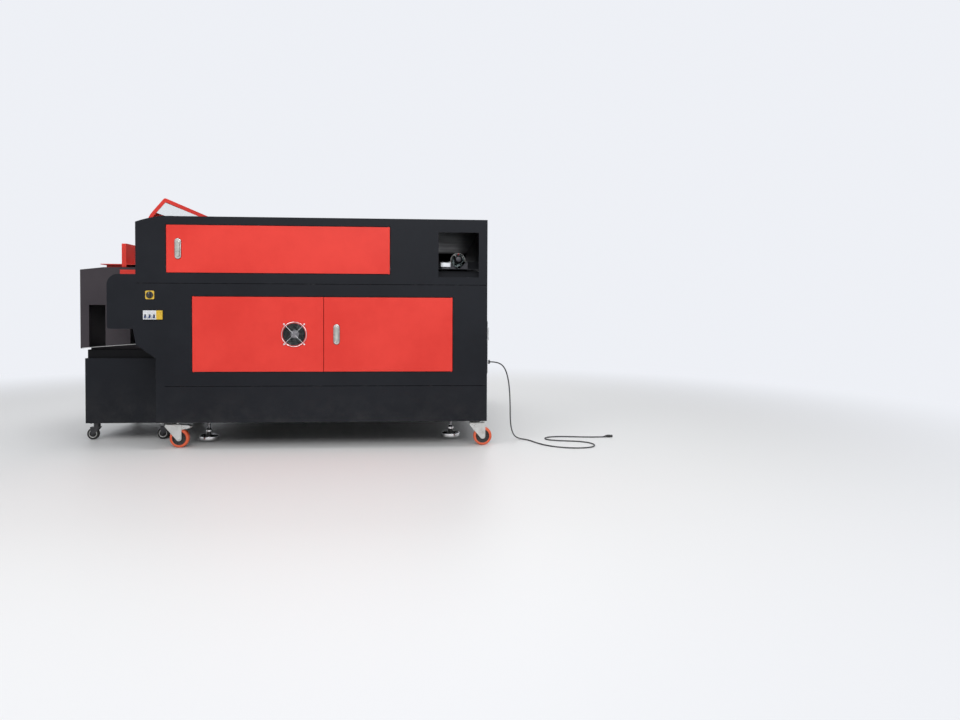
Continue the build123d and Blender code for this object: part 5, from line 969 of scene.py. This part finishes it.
def add_knob():
    """Main switch's knob: twenty-four shallow flutes round the disc and a rounded grip bar."""
    at = middle_of("switch_knob")[0]
    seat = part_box("switch_plate")[0].y - 0.0001
    count, flutes, flute, disc = 144, 24, 0.0006, 0.0180
    turn = np.arange(count) * 2 * math.pi / count
    loops = []
    for inset, deep in mm((0, 0), (0, 3), (1, 4), (8, 4)):
        radius = disc - inset - flute * (0.5 - 0.5 * np.cos(flutes * turn)) * (inset < 0.002)
        x, z = at.x + radius * np.cos(turn), at.z + radius * np.sin(turn)
        loops.append(np.column_stack([x, np.full(count, seat - deep), z]))
    knob = Shape()
    knob.skin(loops)
    steps = mm((5, 3.6), (5, 10), (4, 11.5), (2.4, 11.8))
    knob.stadium((at.x, at.z), [(radius, 0.0220, seat - deep) for radius, deep in steps])
    pointer = (at.x - 0.0007, seat - 0.0120, at.z + 0.006)
    knob.box(pointer, (at.x + 0.0007, seat - 0.0117, at.z + 0.014), 0.0, 1)
    knob.bar((at.x, seat, at.z), (at.x, seat + 0.014, at.z), 0.004)
    finishes = ("black_plastic", "white_paint")
    knob.finish("rotary_knob", "switch_knob", finishes, "switch_knob", "black_plastic")


def add_stop_button():
    """Mushroom button with a waisted cap and its plunger, and the yellow collar in the panel."""
    at, half = middle_of("stop_button")
    front = at.x - half.x
    cap = mm((0, 0), (10, 0.4), (13.8, 3), (13.8, 6.2), (10, 8.8), (6, 9))
    ring = mm((6.4, 0), (15.5, 0), (16, -0.4), (15.2, -1.3), (6.6, -1.5))
    button, collar = Shape(), Shape()
    button.lathe(smooth_corners(cap, 0.002, 5), (front, at.y, at.z), X_AXIS, 56)
    button.bar((front + 0.008, at.y, at.z), (at.x + half.x, at.y, at.z), 0.0058)
    button.finish("mushroom_button", "stop_button", ("red_plastic",), "stop_button", "red_plastic")
    collar.lathe(smooth_corners(ring, 0.0008), (front + BUTTON_PROUD, at.y, at.z), X_AXIS, 48, joined=True)
    collar.finish("button_collar", "console", ("yellow_plastic",), None, "yellow_plastic")


def add_console_fittings():
    """Screen glass, keycaps, lamp and screws of the control panel."""
    low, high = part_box("control_panel")
    face, front = low.x, low.x + 0.0024
    middle = (low.z + high.z) / 2
    key = smooth_corners(mm((8.6, 0), (8.6, 1.8), (7.8, 2.6), (0, 2.2)), 0.0006)
    lamp = mm((2.6, 0), (2.6, 1.2), (0, 2.2))
    fittings = Shape()
    screen = (face + 0.0004, low.y + 0.0360, low.z + 0.018)
    fittings.box(screen, (face + 0.0016, low.y + 0.1820, high.z - 0.018), 0.0005, 1)
    for column in range(4):
        for row in (-1, 0, 1):
            at = (face + 0.0010, low.y + 0.228 + 0.026 * column, middle + row * 0.027)
            fittings.lathe(key, at, FRONT, 28, 2)
    for y in (low.y + 0.010, high.y - 0.010):
        for z in (low.z + 0.010, high.z - 0.010):
            fittings.screw((front, y, z), FRONT, 0.0032, 0, 1)
    fittings.lathe(lamp, (front, high.y - 0.052, high.z - 0.014), FRONT, 20, 3)
    fittings.finish("console_fittings", "console", ("zinc", "screen_glass", "grey_keys", "red_plastic"))


def add_panel_screws():
    """Button-head screws of the removable rear panel and of the connection plate."""
    low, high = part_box("rear_panel")
    inset = 0.022
    across, up = (low.y + inset, high.y - inset), (low.z + inset, high.z - inset)
    places = [(y, z) for y in np.linspace(*across, 9) for z in up]
    places += [(y, z) for z in np.linspace(*up, 6)[1:-1] for y in across]
    screws = Shape()
    for y, z in places:
        screws.screw((high.x, y, z), X_AXIS, 0.0050, 0, 1)
    low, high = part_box("socket_plate")
    for y in (low.y + 0.012, high.y - 0.012):
        for z in (low.z + 0.012, high.z - 0.012):
            screws.screw((low.x + 0.008, y, z), X_AXIS, 0.0046, 0, 1)
    screws.finish("panel_screws", "machine", ("zinc", "black_plastic"))


def add_gland():
    """Dome nut with ribs on the cable's gland."""
    exit_at = Vector(CABLE_ROUTE[0]) + NEAR_SHIFT
    count, ribs, rib = 96, 24, 0.0006
    turn = np.arange(count) * 2 * math.pi / count
    loops = []
    for back, radius in mm((9.8, 10.4), (8.8, 11.2), (3, 11.2), (0.8, 9), (0, 6.2)):
        ribbed = radius - rib * (0.5 + 0.5 * np.cos(ribs * turn)) * (radius > 0.0095)
        y, z = exit_at.y + ribbed * np.cos(turn), exit_at.z + ribbed * np.sin(turn)
        loops.append(np.column_stack([np.full(count, exit_at.x - back), y, z]))
    gland = Shape()
    gland.skin(loops)
    gland.finish("gland_dome", "machine", ("black_plastic",), None, "black_plastic")


def add_gantry_fittings():
    """Socket screws in the rails, the beam's end caps and screws, and the head's fittings."""
    low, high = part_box("gantry_rails")
    rails = Shape()
    for y in (low.y + 0.017, high.y - 0.017):
        for x in np.arange(low.x + 0.030, high.x, 0.060):
            rails.lathe(mm((4.4, 0), (4.4, 0.1), (0, 0.1)), (x, y, high.z), Z_AXIS, 18)
    rails.finish("rail_screws", "machine", ("black_plastic",))
    low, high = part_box("gantry_beam")
    middle, half, foot = (low.x + high.x) / 2, 0.030, high.z - 0.080
    beam = Shape()
    for end, side in zip((low.y, high.y), SIDES):
        beam.box((middle - half, end, foot), (middle + half, end + side * 0.0005, high.z), 0.0, 1)
    for y in (low.y + 0.026, high.y - 0.026):
        for x in (low.x + 0.014, high.x - 0.014):
            for lean in (-0.016, 0.016):
                beam.screw((x, y + lean, foot), Z_AXIS, 0.0042, 0, 1)
    beam.finish("beam_fittings", "gantry_beam", ("zinc", "black_plastic"))
    low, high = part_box("laser_head")
    axis_x, y = low.x + 0.022, (low.y + high.y) / 2
    nut = smooth_corners(mm((0, 0), (7, 0), (7, 10), (0, 10)), 0.001)
    head = Shape()
    for height in (0.40, 0.47, 0.54):
        head.ring((axis_x, y, low.z + height * (high.z - low.z)), Z_AXIS, 0.0166, 0.0009)
    head.bar((low.x, y, high.z - 0.028), (low.x - 0.004, y, high.z - 0.028), 0.0120)
    head.lathe(nut, (axis_x, y, high.z - 0.010), Z_AXIS, 32, 1)
    for y in (low.y + 0.008, high.y - 0.008):
        for z in (low.z + 0.060, high.z - 0.010):
            head.screw((low.x + 0.044, y, z), FRONT, 0.0036, 0, 1)
    head.finish("head_fittings", "laser_head", ("aluminium", "black_plastic"))


def add_supply_fittings():
    """Terminal strip, high-voltage bushing and case screws of the power supply."""
    low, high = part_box("power_supply")
    strip_top = high.z + 0.014
    bushing = mm((0, 0), (14, 0), (14, 6), (9, 8), (11, 12), (8, 16), (9, 20), (0, 26))
    fittings = Shape()
    strip = (low.x + 0.040, high.y - 0.060, high.z)
    fittings.box(strip, (high.x - 0.120, high.y - 0.030, strip_top), 0.002, 1)
    for x in np.arange(low.x + 0.052, high.x - 0.125, 0.015):
        fittings.screw((x, high.y - 0.045, strip_top), Z_AXIS, 0.0034, 0, 1)
    at = (high.x - 0.050, high.y - 0.050, high.z)
    fittings.lathe(smooth_corners(bushing, 0.001), at, Z_AXIS, 32, 2)
    for x in (low.x + 0.012, high.x - 0.012):
        for y in (low.y + 0.030, high.y - 0.012):
            fittings.screw((x, y, high.z), Z_AXIS, 0.0034, 0, 1)
    fittings.finish("supply_fittings", "machine", ("zinc", "black_plastic", "red_plastic"))


add_wheels()
add_caster_fittings()
add_forks()
add_levelling_feet()
add_shelf_hem()
add_window_shade_plates()
add_mirror_block()
add_fan_guard()
add_fan_rotor()
add_motor_cap()
add_seam_shade_strips()
add_lock("upper_lock", "upper_lock_handle", "upper_door", "upper_handle")
add_lock("right_lock", "right_lock_handle", "right_door", "right_handle")
add_laser_tube()
add_tube_straps()
add_knob()
add_stop_button()
add_console_fittings()
add_panel_screws()
add_gland()
add_gantry_fittings()
add_supply_fittings()


# Studio: pale floor and backdrop, soft lamps

BACKGROUND = (0.93, 0.95, 1.0)
BACKGROUND_SEEN = 0.92
WORLD_LIGHT = 0.42
FLOOR_REACH = 40.0
FLOOR_FADE = (2.4, 5.0)


def seen_directly(w):
    """Mask of the rays of the camera, of reflections and of what is seen through glass."""
    path = w.add("ShaderNodeLightPath").outputs
    return w.maths("MAXIMUM", *(path[f"Is {kind} Ray"] for kind in ("Camera", "Transmission", "Glossy")))


def add_floor():
    """Plain floor that keeps the object's shadow and turns to the background's tone away from it."""
    mesh = bpy.data.meshes.new("studio_floor")
    corners = np.array([(-1, -1), (1, -1), (1, 1), (-1, 1)], float) * FLOOR_REACH
    mesh.from_pydata(np.column_stack([corners, np.zeros(4)]).tolist(), [], [(0, 1, 2, 3)])
    floor = bpy.data.objects.new("studio_floor", mesh)
    bpy.context.scene.collection.objects.link(floor)
    w, shader = start_material("studio_floor")
    w.put(shader, Base_Color=(0.80, 0.80, 0.79), Roughness=0.55)
    away = w.add("ShaderNodeVectorMath", {"operation": "LENGTH"}, _0=w.place()).outputs["Value"]
    faded = w.maths("MULTIPLY", w.spread(away, *FLOOR_FADE), seen_directly(w))
    glow = w.add("ShaderNodeEmission", None, Color=BACKGROUND, Strength=BACKGROUND_SEEN)
    mixed = w.add("ShaderNodeMixShader", None, _0=faded, _1=shader.outputs[0], _2=glow.outputs[0])
    w.put(w.tree.nodes["Material Output"], Surface=mixed.outputs[0])
    mesh.materials.append(MATERIALS["studio_floor"])


def add_world():
    """Pale background to the camera and in reflections, softer grey as light."""
    world = bpy.data.worlds.new("studio")
    bpy.context.scene.world = world
    world.use_nodes = True
    w = Wiring(world.node_tree)
    strength = w.spread(seen_directly(w), 0.0, 1.0, WORLD_LIGHT, BACKGROUND_SEEN)
    w.put(world.node_tree.nodes["Background"], Color=BACKGROUND, Strength=strength)


def add_lamp(name, place, aim, size, power):
    """Square soft lamp aimed at a point."""
    data = bpy.data.lights.new(name, "AREA")
    data.shape = "SQUARE"
    data.size = size
    data.energy = power
    lamp = bpy.data.objects.new(name, data)
    lamp.location = place
    lamp.rotation_euler = (Vector(aim) - Vector(place)).to_track_quat("-Z", "Y").to_euler()
    bpy.context.scene.collection.objects.link(lamp)


add_floor()
add_world()
add_lamp("key_lamp", (-2.2, -4.6, 4.2), (0.2, 0.0, 0.7), 2.6, 58.0)
add_lamp("fill_lamp", (3.4, -5.8, 3.2), (0.0, -0.6, 0.6), 2.6, 58.0)
add_lamp("front_lamp", (0.4, -6.0, 3.1), (-0.2, 0.0, 0.5), 1.9, 80.0)
add_lamp("top_lamp", (1.2, -1.5, 4.6), (-0.3, -0.6, 1.0), 2.2, 56.0)
add_lamp("back_lamp", (0.5, 4.2, 4.0), (0.0, 0.0, 0.8), 3.0, 100.0)

bpy.context.scene.view_settings.view_transform = "Standard"
